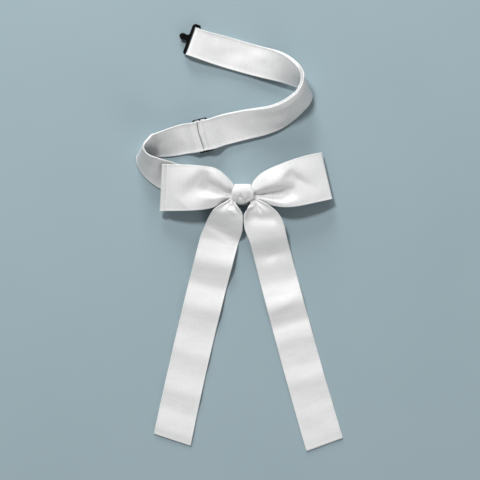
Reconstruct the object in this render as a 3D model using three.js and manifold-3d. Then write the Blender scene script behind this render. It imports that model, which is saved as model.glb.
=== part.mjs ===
// A white satin string bow tie, pre-tied, lying face up on a flat surface as it was put down.
// Millimetres, +Z up, +Y towards the top of the neck band and +X to the right of the bow.
// The origin is on the surface, under the middle of the knot, where the back of the knot rests.
import * as THREE from "three";
import { mergeVertices } from "three/addons/utils/BufferGeometryUtils.js";
import Module from "manifold-3d";

// Driving dimensions.
const CLOTH = 1.0; // a double layer of satin, pressed flat
const CLEAR = 0.3; // between pieces that lie against each other
const LAYER = CLOTH + CLEAR; // from one layer of cloth to the next
const RETURN = LAYER + 0.3; // from the neck band to its own return layer
const BAND_WIDTH = 23; // neck band laid flat
const BAND_IN_KNOT = 10; // the same band where the knot gathers it
const BAND_AT_HOOK = 21.6; // and where the hook's slot holds it
const PLATE = 1.2; // black metal of the hook and the eye
const SLIDE_PLATE = 0.9; // black metal of the slide

const satin = new THREE.MeshStandardMaterial({ color: 0xf1f1f3, roughness: 0.42, metalness: 0 });
const blackMetal = new THREE.MeshStandardMaterial({ color: 0x141416, roughness: 0.35, metalness: 0.6 });

const radians = THREE.MathUtils.degToRad;
const lerp = THREE.MathUtils.lerp;
const smooth = (t) => THREE.MathUtils.smoothstep(t, 0, 1);

// A smooth curve through the rows of a table whose columns include x and y, and z where it isn't
// flat: length is its length, and at(d) gives every column at the distance d along it. Columns other
// than x and y never overshoot.
function curveThrough(rows) {
  const names = Object.keys(rows[0]);
  const along = [0];
  for (let i = 1; i < rows.length; i++) {
    const step = ["x", "y", "z"].map((name) => (rows[i][name] ?? 0) - (rows[i - 1][name] ?? 0));
    along.push(along[i - 1] + Math.hypot(...step));
  }
  const slope = (name, i) => (rows[i + 1][name] - rows[i][name]) / (along[i + 1] - along[i]);
  const tangent = (name, i) => {
    if (i === 0) return slope(name, 0);
    if (i === rows.length - 1) return slope(name, i - 1);
    const [before, after] = [slope(name, i - 1), slope(name, i)];
    if (name !== "x" && name !== "y") {
      return before * after <= 0 ? 0 : (2 * before * after) / (before + after);
    }
    const share = (along[i] - along[i - 1]) / (along[i + 1] - along[i - 1]);
    return lerp(before, after, share);
  };
  const at = (d) => {
    let i = along.findIndex((a) => a > d) - 1;
    if (i < 0) i = d <= 0 ? 0 : rows.length - 2;
    const step = along[i + 1] - along[i];
    const t = (d - along[i]) / step;
    const inside = Math.min(Math.max(t, 0), 1);
    const out = {};
    for (const name of names) {
      const [a, b] = [rows[i][name], rows[i + 1][name]];
      const [ta, tb] = [tangent(name, i) * step, tangent(name, i + 1) * step];
      const [t2, t3] = [inside * inside, inside ** 3];
      out[name] = (2 * t3 - 3 * t2 + 1) * a + (t3 - 2 * t2 + inside) * ta;
      out[name] += (3 * t2 - 2 * t3) * b + (t3 - t2) * tb;
      // Past either end the curve runs on straight.
      out[name] += (t - inside) * (t < 0 ? ta : tb);
    }
    return out;
  };
  return { at, along, length: along.at(-1) };
}

// A path in a plane through corners [along, height], each rounded to its own radius.
// Straight stretches get a point about every step.
function roundedPath(corners, step, closed = false) {
  const count = corners.length;
  const points = [];
  const put = (p) => {
    const last = points.at(-1);
    if (last) {
      const far = last.distanceTo(p);
      const extra = Math.max(1, Math.round(far / step));
      for (let k = 1; k < extra; k++) points.push(last.clone().lerp(p, k / extra));
      if (far < 1e-6) return;
    }
    points.push(p);
  };
  corners.forEach(({ s, h, r = 0 }, i) => {
    const here = new THREE.Vector2(s, h);
    const atEnd = !closed && (i === 0 || i === count - 1);
    if (atEnd || r === 0) return put(here);
    const from = corners[(i + count - 1) % count];
    const to = corners[(i + 1) % count];
    const back = new THREE.Vector2(from.s, from.h).sub(here).normalize();
    const on = new THREE.Vector2(to.s, to.h).sub(here).normalize();
    const half = back.angleTo(on) / 2;
    const reach = r / Math.tan(half);
    const middle = back.clone().add(on).normalize().multiplyScalar(r / Math.sin(half)).add(here);
    const start = back.clone().multiplyScalar(reach).add(here).sub(middle);
    const end = on.clone().multiplyScalar(reach).add(here).sub(middle);
    const turn = Math.atan2(start.cross(end), start.dot(end));
    const pieces = Math.max(2, Math.ceil(Math.abs(turn) / radians(32)));
    put(start.clone().add(middle));
    for (let k = 1; k <= pieces; k++) {
      points.push(start.clone().rotateAround(new THREE.Vector2(), (turn * k) / pieces).add(middle));
    }
  });
  if (closed && points[0].distanceTo(points.at(-1)) < 1e-6) points.pop();
  return points;
}

// A closed wall of one thickness around a grid of middle points: rows run along the cloth, and each
// row runs across it. ring joins the last row to the first.
function wallOf(rows, thickness, ring = false) {
  const [n, m] = [rows.length, rows[0].length];
  const row = (i) => rows[ring ? (i + n) % n : Math.min(Math.max(i, 0), n - 1)];
  const positions = [];
  for (const side of [0.5, -0.5]) {
    for (let i = 0; i < n; i++) {
      for (let j = 0; j < m; j++) {
        const along = row(i + 1)[j].clone().sub(row(i - 1)[j]);
        const across = rows[i][Math.min(j + 1, m - 1)].clone().sub(rows[i][Math.max(j - 1, 0)]);
        const out = along.cross(across).normalize().multiplyScalar(side * thickness);
        positions.push(...out.add(rows[i][j]).toArray());
      }
    }
  }
  const at = (side, i, j) => side * n * m + ((i + n) % n) * m + j;
  const faces = [];
  const quad = (a, b, c, d) => faces.push(a, b, c, a, c, d);
  const last = ring ? n : n - 1;
  for (let i = 0; i < last; i++) {
    for (let j = 0; j < m - 1; j++) {
      quad(at(0, i, j), at(0, i + 1, j), at(0, i + 1, j + 1), at(0, i, j + 1));
      quad(at(1, i, j), at(1, i, j + 1), at(1, i + 1, j + 1), at(1, i + 1, j));
    }
    quad(at(0, i, 0), at(1, i, 0), at(1, i + 1, 0), at(0, i + 1, 0));
    quad(at(0, i, m - 1), at(0, i + 1, m - 1), at(1, i + 1, m - 1), at(1, i, m - 1));
  }
  for (let j = 0; !ring && j < m - 1; j++) {
    quad(at(0, 0, j), at(0, 0, j + 1), at(1, 0, j + 1), at(1, 0, j));
    quad(at(0, n - 1, j), at(1, n - 1, j), at(1, n - 1, j + 1), at(0, n - 1, j + 1));
  }
  const geometry = new THREE.BufferGeometry();
  geometry.setAttribute("position", new THREE.Float32BufferAttribute(positions, 3));
  geometry.setIndex(faces);
  return geometry;
}

function node(name, geometry, material) {
  const mesh = new THREE.Mesh(geometry, material);
  mesh.geometry.computeVertexNormals();
  mesh.name = name;
  return mesh;
}

// Neck band. One strip, whose lower edge in the picture of the tie, the ground edge, lies on the
// surface. Each row gives that edge's place, the bearing in plan of the line across the strip from it
// to the other edge, how far that line tilts up from the surface, the strip's width, how far its
// middle bulges over that line, and how far its other edge curls over. The strip lies flat under the
// knot, stands up through a half twist at the left, lies back down, and stands up again through a half
// twist at the right, before it lies flat to the hook.
const UNDER_BOW = [
  { x: 17, y: -4.9, z: 4, bearing: 90, tilt: 0, width: BAND_IN_KNOT, belly: 0, curl: 0 },
  { x: 13.4, y: -4.9, z: 4, bearing: 90, tilt: 0, width: BAND_IN_KNOT, belly: 0, curl: 0 },
  { x: 10.2, y: -4.9, z: 2.6, bearing: 90, tilt: 0, width: BAND_IN_KNOT, belly: 0, curl: 0 },
  { x: 7.4, y: -4.9, z: 1.9, bearing: 90, tilt: 0, width: BAND_IN_KNOT, belly: 0, curl: 0 },
  { x: -7.4, y: -4.7, z: 1.9, bearing: 89, tilt: 0, width: BAND_IN_KNOT, belly: 0, curl: 0 },
  { x: -10.5, y: -4.7, z: 1.6, bearing: 86, tilt: 0, width: 12.6, belly: 0, curl: 0 },
  { x: -16.5, y: -4.7, z: 0.9, bearing: 80, tilt: 0, width: 17.4, belly: 0, curl: 0 },
  { x: -25.5, y: -4.5, z: 0.6, bearing: 77, tilt: 0, width: 22, belly: 0, curl: 0 },
  { x: -44, y: -1.2, z: 0.6, bearing: 74, tilt: 4, width: BAND_WIDTH, belly: 0, curl: 0 },
];
const LEFT_TURN = [
  { x: -60.3, y: 3.9, z: 0.6, bearing: 68, tilt: 16, width: BAND_WIDTH, belly: 0.4, curl: 0 },
  { x: -67.5, y: 8.3, z: 0.6, bearing: 65, tilt: 30, width: BAND_WIDTH, belly: 0.8, curl: 0 },
  { x: -73.1, y: 13.4, z: 0.6, bearing: 60, tilt: 43, width: BAND_WIDTH, belly: 1, curl: 0.2 },
  { x: -77.2, y: 19.2, z: 0.6, bearing: 57, tilt: 57, width: BAND_WIDTH, belly: 0.6, curl: 0.4 },
  { x: -79.5, y: 25, z: 0.6, bearing: 54, tilt: 65, width: BAND_WIDTH, belly: 0, curl: 0.5 },
  { x: -79.3, y: 29.2, z: 0.6, bearing: 58, tilt: 68, width: BAND_WIDTH, belly: 0, curl: 0.5 },
  { x: -77, y: 31.4, z: 0.6, bearing: 63, tilt: 67, width: BAND_WIDTH, belly: 0, curl: 0.6 },
  { x: -73, y: 31, z: 0.6, bearing: 76, tilt: 60, width: BAND_WIDTH, belly: -0.6, curl: 0.8 },
  { x: -68.6, y: 29.6, z: 0.6, bearing: 88, tilt: 50, width: BAND_WIDTH, belly: -1.2, curl: 1 },
  { x: -63.2, y: 28.7, z: 0.6, bearing: 97, tilt: 43, width: BAND_WIDTH, belly: -1.5, curl: 1.1 },
  { x: -55.5, y: 28.9, z: 0.6, bearing: 105, tilt: 33, width: BAND_WIDTH, belly: -1.2, curl: 1 },
  { x: -46.5, y: 30, z: 0.6, bearing: 106, tilt: 19, width: BAND_WIDTH, belly: -0.5, curl: 0.5 },
];
const LOWER_RUN = [
  { x: -38.6, y: 31.7, z: 0.6, bearing: 104, tilt: 10.5, width: BAND_WIDTH, belly: 0, curl: 0 },
  { x: -23.6, y: 35.1, z: 0.6, bearing: 104, tilt: 9.8, width: BAND_WIDTH, belly: 0, curl: 0 },
  { x: -8.3, y: 39, z: 0.6, bearing: 104, tilt: 12, width: BAND_WIDTH, belly: -0.3, curl: 0.2 },
  { x: 6.7, y: 42.8, z: 0.6, bearing: 108, tilt: 19, width: BAND_WIDTH, belly: -0.6, curl: 0.8 },
];
const RIGHT_TURN = [
  { x: 18.5, y: 46.4, z: 0.6, bearing: 115, tilt: 29, width: BAND_WIDTH, belly: -0.4, curl: 1.2 },
  { x: 28, y: 51, z: 0.6, bearing: 122, tilt: 41, width: BAND_WIDTH, belly: 0.4, curl: 1.3 },
  { x: 36.7, y: 57.2, z: 0.6, bearing: 129, tilt: 51, width: BAND_WIDTH, belly: 0.8, curl: 1.3 },
  { x: 44.2, y: 64.4, z: 0.7, bearing: 134, tilt: 58, width: BAND_WIDTH, belly: 0.9, curl: 1.3 },
  { x: 49.1, y: 70.5, z: 1, bearing: 134, tilt: 61, width: BAND_WIDTH, belly: 0.8, curl: 1.2 },
  { x: 50.2, y: 74.3, z: 1.2, bearing: 127, tilt: 61, width: BAND_WIDTH, belly: 0.7, curl: 1.1 },
  { x: 48.6, y: 77.2, z: 1.8, bearing: 114, tilt: 60, width: BAND_WIDTH, belly: 0.6, curl: 1 },
  { x: 45, y: 79.3, z: 3, bearing: 99, tilt: 56, width: BAND_WIDTH, belly: 0.5, curl: 0.8 },
  { x: 39.9, y: 81, z: 4.8, bearing: 89, tilt: 47, width: BAND_WIDTH, belly: 0.3, curl: 0.7 },
  { x: 30.6, y: 84, z: 5.2, bearing: 82, tilt: 33, width: BAND_WIDTH, belly: 0, curl: 0.5 },
  { x: 22, y: 86, z: 4.3, bearing: 78, tilt: 20, width: BAND_WIDTH, belly: 0, curl: 0.3 },
  { x: 12, y: 88.3, z: 3.2, bearing: 75, tilt: 8, width: BAND_WIDTH, belly: 0, curl: 0 },
];
const UPPER_RUN = [
  { x: 1.5, y: 91, z: 2.5, bearing: 74, tilt: 2, width: BAND_WIDTH, belly: 0, curl: 0 },
  { x: -15.8, y: 96, z: 2.7, bearing: 73, tilt: 0, width: BAND_WIDTH, belly: 0, curl: 0 },
  { x: -25.5, y: 99.1, z: 3.7, bearing: 72, tilt: 0, width: 22.6, belly: 0, curl: 0 },
  { x: -34.6, y: 102.3, z: 4.8, bearing: 71, tilt: 0, width: 21.8, belly: 0, curl: 0 },
  { x: -40.8, y: 104.5, z: 5, bearing: 70, tilt: 0, width: BAND_AT_HOOK, belly: 0, curl: 0 },
];
const band = curveThrough([...UNDER_BOW, ...LEFT_TURN, ...LOWER_RUN, ...RIGHT_TURN, ...UPPER_RUN]);
const CURL_FROM = 0.85; // share of the width where the curl of the other edge starts

// A place on the band: d along it, and v from 0 at the ground edge to 1 at the other edge.
function bandPoint(d, v) {
  const { x, y, z, bearing, tilt, width, belly, curl } = band.at(d);
  const lean = radians(tilt);
  const proud = 4 * v * (1 - v) * belly - curl * Math.max(0, (v - CURL_FROM) / (1 - CURL_FROM)) ** 2;
  const flat = v * width * Math.cos(lean) - proud * Math.sin(lean);
  const rise = v * width * Math.sin(lean) + proud * Math.cos(lean);
  return new THREE.Vector3(
    x + flat * Math.cos(radians(bearing)),
    y + flat * Math.sin(radians(bearing)),
    z + rise,
  );
}

// The frame of the band there, but for its curl: unit vectors across it and out of its back face.
function bandFrame(d, v) {
  const level = Math.min(v, CURL_FROM - 0.05);
  const along = bandPoint(d + 0.5, v).sub(bandPoint(d - 0.5, v));
  const across = bandPoint(d, level + 0.05).sub(bandPoint(d, level - 0.05)).normalize();
  return { across, back: along.cross(across).normalize() };
}

// The slide's size along the band: three bars and two slots.
const SLIDE = { outerBar: 1.2, slot: 3.7, middleBar: 1.3, rail: 0.9, inside: BAND_WIDTH + 0.9 };
const BAR = 1.2; // width of the bar that a hem is folded round
const HEM_ROUND = CLOTH / 2 + CLEAR + Math.hypot(PLATE, BAR) / 2; // radius of the hem's fold
const SLIDE_AT = band.along[UNDER_BOW.length + LEFT_TURN.length] + 11.7; // where the slide sits
const BAR_TOP = 2 * LAYER + CLEAR / 2 + SLIDE_PLATE / 2; // height of the slide's middle plane
const OVER_BAR = BAR_TOP + SLIDE_PLATE / 2 + CLEAR + CLOTH / 2;
const ROUND_BAR = SLIDE_PLATE / 2 + CLEAR + CLOTH / 2;
const BAND_STEP = 4.2; // along an almost straight stretch
const SLOT_BEND = 0.8; // radius of the strip's bends into and out of a slot
const DIVE = SLIDE.middleBar / 2 + ROUND_BAR + LAYER; // where the strip passes through a slot

// The strip's way from the hem at the eye to the hem at the slide: distance along the band, height
// over it on the side of its back face, and the radius of the bend there.
function bandPath() {
  const eye = 0;
  const hook = band.length;
  const fold = SLIDE_AT - SLIDE.middleBar / 2;
  const corners = [
    { s: eye + 5.4, h: 2 * HEM_ROUND },
    { s: eye - HEM_ROUND, h: 2 * HEM_ROUND, r: HEM_ROUND },
    { s: eye - HEM_ROUND, h: 0, r: HEM_ROUND },
    { s: SLIDE_AT - 15, h: 0, r: 9 },
    { s: SLIDE_AT - 7, h: OVER_BAR, r: 2.5 },
    { s: SLIDE_AT - DIVE, h: OVER_BAR, r: SLOT_BEND },
    { s: SLIDE_AT - DIVE, h: 0, r: SLOT_BEND },
    { s: SLIDE_AT + DIVE, h: 0, r: SLOT_BEND },
    { s: SLIDE_AT + DIVE, h: OVER_BAR, r: SLOT_BEND },
    { s: SLIDE_AT + 7, h: OVER_BAR, r: 2.5 },
    { s: SLIDE_AT + 15, h: 0, r: 9 },
    { s: hook + HEM_ROUND, h: 0, r: HEM_ROUND },
    { s: hook + HEM_ROUND, h: 2 * HEM_ROUND, r: HEM_ROUND },
    { s: hook - 6, h: 2 * HEM_ROUND, r: 12 },
    { s: hook - 16, h: RETURN, r: 12 },
    { s: SLIDE_AT + 15, h: RETURN, r: 9 },
    { s: SLIDE_AT + 7, h: OVER_BAR + LAYER, r: 2.5 },
    { s: SLIDE_AT + 2.6, h: OVER_BAR + LAYER, r: 2 },
    { s: SLIDE_AT + 0.8, h: OVER_BAR, r: 2 },
    { s: fold - ROUND_BAR, h: OVER_BAR, r: ROUND_BAR },
    { s: fold - ROUND_BAR, h: BAR_TOP - ROUND_BAR, r: ROUND_BAR },
    { s: fold + 1.5, h: BAR_TOP - ROUND_BAR },
  ];
  const points = roundedPath(corners, BAND_STEP / 2);
  // Every other point is left out where the band runs on almost straight.
  const apart = (i) => points[i]?.distanceTo(points[i + 1] ?? points[i]) ?? 0;
  const changes = ({ x: d }, name) => Math.abs(band.at(d + 3)[name] - band.at(d - 3)[name]);
  const turns = (p) => changes(p, "bearing") > 6 || changes(p, "tilt") > 6;
  const isShort = (i) => Math.min(apart(i - 1), apart(i)) < BAND_STEP / 3;
  return points.filter((p, i) => i % 2 === 0 || isShort(i) || turns(p));
}

function neckBand() {
  const onWay = ({ x: d, y: height }, v) =>
    bandPoint(d, v).addScaledVector(bandFrame(d, v).back, height);
  return wallOf(
    bandPath().map((p) => [0, 0.5, 1].map((v) => onWay(p, v))),
    CLOTH,
  );
}

// A rounded rectangle about a middle, as a shape or as a hole in one.
function roundedRectangle(into, x, y, long, wide, r) {
  const [a, b] = [long / 2, wide / 2];
  into.moveTo(x - a + r, y - b);
  into.lineTo(x + a - r, y - b).absarc(x + a - r, y - b + r, r, -Math.PI / 2, 0);
  into.lineTo(x + a, y + b - r).absarc(x + a - r, y + b - r, r, 0, Math.PI / 2);
  into.lineTo(x - a + r, y + b).absarc(x - a + r, y + b - r, r, Math.PI / 2, Math.PI);
  into.lineTo(x - a, y - b + r).absarc(x - a + r, y - b + r, r, Math.PI, 1.5 * Math.PI);
  return into;
}

function plate(shape, thickness, bevel = 0.15) {
  const geometry = new THREE.ExtrudeGeometry(shape, {
    depth: thickness - 2 * bevel,
    bevelEnabled: true,
    bevelThickness: bevel,
    bevelSize: bevel,
    bevelOffset: -bevel,
    bevelSegments: 1,
    curveSegments: 3,
  });
  return geometry.translate(0, 0, bevel - thickness / 2);
}

// Puts a hard piece on the band: its own x along the band, y across and z out of the back face,
// with its middle at the distance d and the height h.
function onBand(mesh, d, h) {
  const { across, back } = bandFrame(d, 0.5);
  mesh.matrixAutoUpdate = false;
  mesh.matrix.makeBasis(across.clone().cross(back), across, back);
  mesh.matrix.setPosition(bandPoint(d, 0.5).addScaledVector(back, h));
  return mesh;
}

function slide() {
  const { outerBar, slot, middleBar, rail, inside } = SLIDE;
  const length = 2 * outerBar + 2 * slot + middleBar;
  const shape = roundedRectangle(new THREE.Shape(), 0, 0, length, inside + 2 * rail, 1.1);
  for (const side of [-1, 1]) {
    const middle = (side * (middleBar + slot)) / 2;
    shape.holes.push(roundedRectangle(new THREE.Path(), middle, 0, slot, inside, 0.4));
  }
  return plate(shape, SLIDE_PLATE);
}

// The eye that the hook closes on: a plain ring, held in the hem of the band behind the knot.
const EYE = { length: 9.8, width: 14.6 };
function eye() {
  const { length, width } = EYE;
  const shape = roundedRectangle(new THREE.Shape(), 0, 0, length, width, 2);
  const hole = new THREE.Path();
  shape.holes.push(roundedRectangle(hole, 0, 0, length - 2 * BAR, width - 2 * BAR, 0.8));
  return plate(shape, PLATE);
}

// The hook: a plate whose slot is open at its lower end, where the band is folded through it, and a
// stem with a round knob, from which a tongue turns down and back under it. x runs on from the band's
// end, and the hem's bar is at x 0.
const HOOK = { low: -11, high: 13.4, middle: 1.4, slot: 1.95, body: 2.25, rail: 2.15, stem: 4.2 };
const HOOK_ROUND = { end: 2.6, flare: 1.6, claw: 1, corner: 0.4 }; // reach of the curves in its outline
const KNOB = { at: 9.3, r: 2.4, bend: 1.3 }; // bend is the tongue's turn, at the middle of the metal
const TONGUE = { length: 6, root: 3.4, tip: 1.6 };
async function hook() {
  const wasm = await Module();
  wasm.setup();
  const solid = (geometry) => {
    const bare = geometry.clone().deleteAttribute("normal").deleteAttribute("uv");
    const merged = mergeVertices(bare, 1e-4);
    const vertProperties = merged.attributes.position.array;
    return new wasm.Manifold(new wasm.Mesh({ numProp: 3, vertProperties, triVerts: merged.index.array }));
  };
  const { low, high, middle, slot, body, rail, stem } = HOOK;
  const [near, inner, outer, far] = [-BAR / 2, BAR / 2, BAR / 2 + slot, BAR / 2 + slot + body];
  const [top, half] = [high - rail, stem / 2];
  const { end, flare, claw, corner } = HOOK_ROUND;
  const shape = new THREE.Shape();
  shape.moveTo(near + corner, low).lineTo(inner, low).lineTo(inner, top).lineTo(outer, top);
  shape.lineTo(outer, low).quadraticCurveTo(far, low, far, low + end);
  shape.lineTo(far, middle - half - flare);
  shape.quadraticCurveTo(far, middle - half, far + flare, middle - half);
  shape.lineTo(far + flare, middle + half);
  shape.quadraticCurveTo(far, middle + half, far, middle + half + flare);
  shape.lineTo(far, high - end).quadraticCurveTo(far, high, far - end, high);
  shape.lineTo(near + claw, high).quadraticCurveTo(near - claw, high, near - claw, top);
  shape.lineTo(near, top).lineTo(near, low + corner).quadraticCurveTo(near, low, near + corner, low);
  const { at, r, bend } = KNOB;
  const turn = at + r - PLATE / 2 - bend;
  const tip = turn - TONGUE.length;
  const way = roundedPath(
    [
      { s: far - 0.6, h: 0 },
      { s: turn + bend, h: 0, r: bend },
      { s: turn + bend, h: 2 * bend, r: bend },
      { s: tip, h: 2 * bend },
    ],
    1.5,
  );
  const rows = way.map((p) => {
    const rim = p.x + (PLATE / 2) * Math.max(0, (p.x - turn) / bend);
    const round = 2 * Math.sqrt(Math.max(r * r - Math.max(0, rim - at) ** 2, 0.4));
    const over = lerp(stem, 2 * r, smooth((p.x - far) / (at - far)));
    const under = lerp(TONGUE.tip, TONGUE.root, (p.x - tip) / TONGUE.length);
    const w = Math.min(round, p.y > bend ? under : over);
    return [-0.5, -0.2, 0.2, 0.5].map((v) => new THREE.Vector3(p.x, middle + v * w, p.y));
  });
  const joined = solid(plate(shape, PLATE)).add(solid(wallOf(rows, PLATE)));
  const { vertProperties, triVerts } = joined.getMesh();
  const geometry = new THREE.BufferGeometry();
  geometry.setAttribute("position", new THREE.BufferAttribute(vertProperties, 3));
  return geometry.setIndex(new THREE.BufferAttribute(triVerts, 1));
}

// Folds: valleys in a layer of cloth, each a line of rows with its place in plan, its depth and how
// far it reaches to the left and to the right of the line. drop gives how far they lower the cloth
// at x, y.
function drop(folds, x, y) {
  let total = 0;
  for (const fold of folds) {
    let nearest = { far: Infinity };
    for (let i = 1; i < fold.length; i++) {
      const [a, b] = [fold[i - 1], fold[i]];
      const [dx, dy] = [b.x - a.x, b.y - a.y];
      const t = Math.min(Math.max(((x - a.x) * dx + (y - a.y) * dy) / (dx * dx + dy * dy), 0), 1);
      const far = Math.hypot(x - a.x - t * dx, y - a.y - t * dy);
      if (far < nearest.far) {
        const side = dx * (y - a.y) - dy * (x - a.x) > 0 ? "left" : "right";
        nearest = { far, depth: lerp(a.depth, b.depth, t), reach: lerp(a[side], b[side], t) };
      }
    }
    total += nearest.depth * Math.exp(-((nearest.far / nearest.reach) ** 2));
  }
  return total;
}

// Bow. One ring of wide ribbon, folded at both ends and gathered in the knot. Each row is a section
// from the knot outwards: the middle of the line across the ribbon, that line's bearing, its width,
// the heights of the front and back layers there, how far both rise to the upper edge, how far both
// edges of the front droop, and how far its lower edge droops more.
const LEFT_LOOP = [
  { x: 0, y: 0.3, bearing: 90, width: 10.4, front: 9.2, back: 3.5, rise: 0, crown: 0.8, droop: 1.2 },
  { x: -6.6, y: 0.5, bearing: 90, width: 10.8, front: 9.2, back: 3.5, rise: 0, crown: 0.9, droop: 1.5 },
  { x: -8.2, y: 2.3, bearing: 90, width: 13.4, front: 9.5, back: 3.7, rise: 0, crown: 1.2, droop: 2.4 },
  { x: -10.4, y: 3.6, bearing: 90, width: 15.8, front: 10.6, back: 4, rise: 0, crown: 1.8, droop: 2.8 },
  { x: -14, y: 5, bearing: 90, width: 20.4, front: 12.4, back: 4.4, rise: 0, crown: 2.6, droop: 2.8 },
  { x: -18, y: 5.5, bearing: 90, width: 25.8, front: 14.2, back: 4.6, rise: 0, crown: 3, droop: 2.6 },
  { x: -23, y: 5.6, bearing: 90, width: 30.1, front: 15.4, back: 4.8, rise: 0, crown: 3, droop: 2.4 },
  { x: -29, y: 5.4, bearing: 90, width: 32.3, front: 16.1, back: 5, rise: 0.1, crown: 2.4, droop: 1.8 },
  { x: -36, y: 5.4, bearing: 90, width: 33.8, front: 15.6, back: 5.2, rise: 0.4, crown: 1.7, droop: 1.2 },
  { x: -44, y: 5.4, bearing: 89, width: 34.6, front: 14.3, back: 5.6, rise: 1.1, crown: 1.1, droop: 0.6 },
  { x: -52, y: 5.4, bearing: 89, width: 34.8, front: 12.7, back: 6.6, rise: 2.2, crown: 0.6, droop: 0.2 },
  { x: -56.7, y: 5.4, bearing: 87, width: 35, front: 11.3, back: 7.9, rise: 3.1, crown: 0.2, droop: 0 },
  { x: -60.1, y: 5.4, bearing: 87, width: 35.2, front: 10.9, back: 8.9, rise: 3.6, crown: 0, droop: 0 },
];
const RIGHT_LOOP = [
  { x: 0, y: 0.3, bearing: 90, width: 10.4, front: 9.2, back: 3.5, rise: 0, crown: 0.8, droop: 1.2 },
  { x: 5.8, y: 0.6, bearing: 90, width: 10.8, front: 9.2, back: 3.8, rise: 0, crown: 0.9, droop: 1.5 },
  { x: 8.2, y: 2.9, bearing: 91, width: 14.8, front: 9.6, back: 4.2, rise: 0, crown: 1.2, droop: 2.4 },
  { x: 10.6, y: 4.2, bearing: 92, width: 17.4, front: 10.8, back: 5.2, rise: 0, crown: 1.8, droop: 2.6 },
  { x: 13.6, y: 5, bearing: 94, width: 20.8, front: 12.4, back: 5.5, rise: 0, crown: 2.6, droop: 2.4 },
  { x: 20.1, y: 5.8, bearing: 95, width: 26.6, front: 14.8, back: 5.6, rise: 0, crown: 3, droop: 2.4 },
  { x: 28.1, y: 6.7, bearing: 96, width: 31.6, front: 15.6, back: 5.3, rise: 0, crown: 2.6, droop: 1.6 },
  { x: 38.4, y: 8.8, bearing: 98, width: 34.9, front: 14.4, back: 4.6, rise: 0, crown: 1.9, droop: 0.8 },
  { x: 48.7, y: 11.4, bearing: 100, width: 36, front: 12, back: 4.4, rise: 0, crown: 1.2, droop: 0.3 },
  { x: 56.6, y: 13.2, bearing: 102, width: 36.2, front: 9.2, back: 4.8, rise: 0, crown: 0.4, droop: 0 },
  { x: 61.6, y: 14.2, bearing: 103, width: 35.9, front: 7.2, back: 5.2, rise: 0, crown: 0, droop: 0 },
];
const BOW_FOLDS = [
  [
    { x: -33, y: 8.5, depth: 0, left: 7, right: 5 },
    { x: -30, y: 6.8, depth: 2.2, left: 6.8, right: 5 },
    { x: -26.2, y: 4.6, depth: 4.3, left: 6.6, right: 4.2 },
    { x: -20.2, y: 2.4, depth: 4.8, left: 6.8, right: 3.2 },
    { x: -13.5, y: 1.2, depth: 3.3, left: 3.7, right: 1.7 },
    { x: -8.8, y: 0.4, depth: 2.8, left: 2.5, right: 1.5 },
    { x: 0, y: 0.3, depth: 2.4, left: 2, right: 2 },
    { x: 9.8, y: -0.1, depth: 2.6, left: 2.3, right: 1.4 },
    { x: 16.5, y: -0.3, depth: 3.8, left: 4.4, right: 1.9 },
    { x: 27.8, y: -0.2, depth: 5, left: 7, right: 3.8 },
    { x: 36.8, y: 1.5, depth: 2.7, left: 6.2, right: 4.6 },
    { x: 42, y: 2.5, depth: 1, left: 5.5, right: 5 },
    { x: 46.5, y: 3.5, depth: 0, left: 5, right: 5 },
  ],
  [
    { x: -27.5, y: 18.5, depth: 0.5, left: 6, right: 4 },
    { x: -29.5, y: 13, depth: 2.6, left: 8, right: 5 },
    { x: -33, y: 7.5, depth: 3.4, left: 10, right: 6 },
    { x: -37.5, y: 2.5, depth: 2.8, left: 11, right: 7 },
    { x: -42, y: -2.5, depth: 1.2, left: 11, right: 8 },
    { x: -45, y: -6, depth: 0, left: 11, right: 8 },
  ],
  [
    { x: 32.5, y: 17.6, depth: 0.2, left: 3.6, right: 7 },
    { x: 36.1, y: 14.5, depth: 1.8, left: 3.8, right: 8 },
    { x: 40.9, y: 11.1, depth: 2.4, left: 4, right: 9 },
    { x: 45.6, y: 8.3, depth: 1.9, left: 4.2, right: 9 },
    { x: 51, y: 5.7, depth: 0, left: 4.4, right: 9 },
  ],
];
const BOW_ACROSS = 12; // cells across the ribbon
const LOOP_STEPS = { front: 12, back: 7, end: 4 }; // cells along each part of a loop

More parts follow.
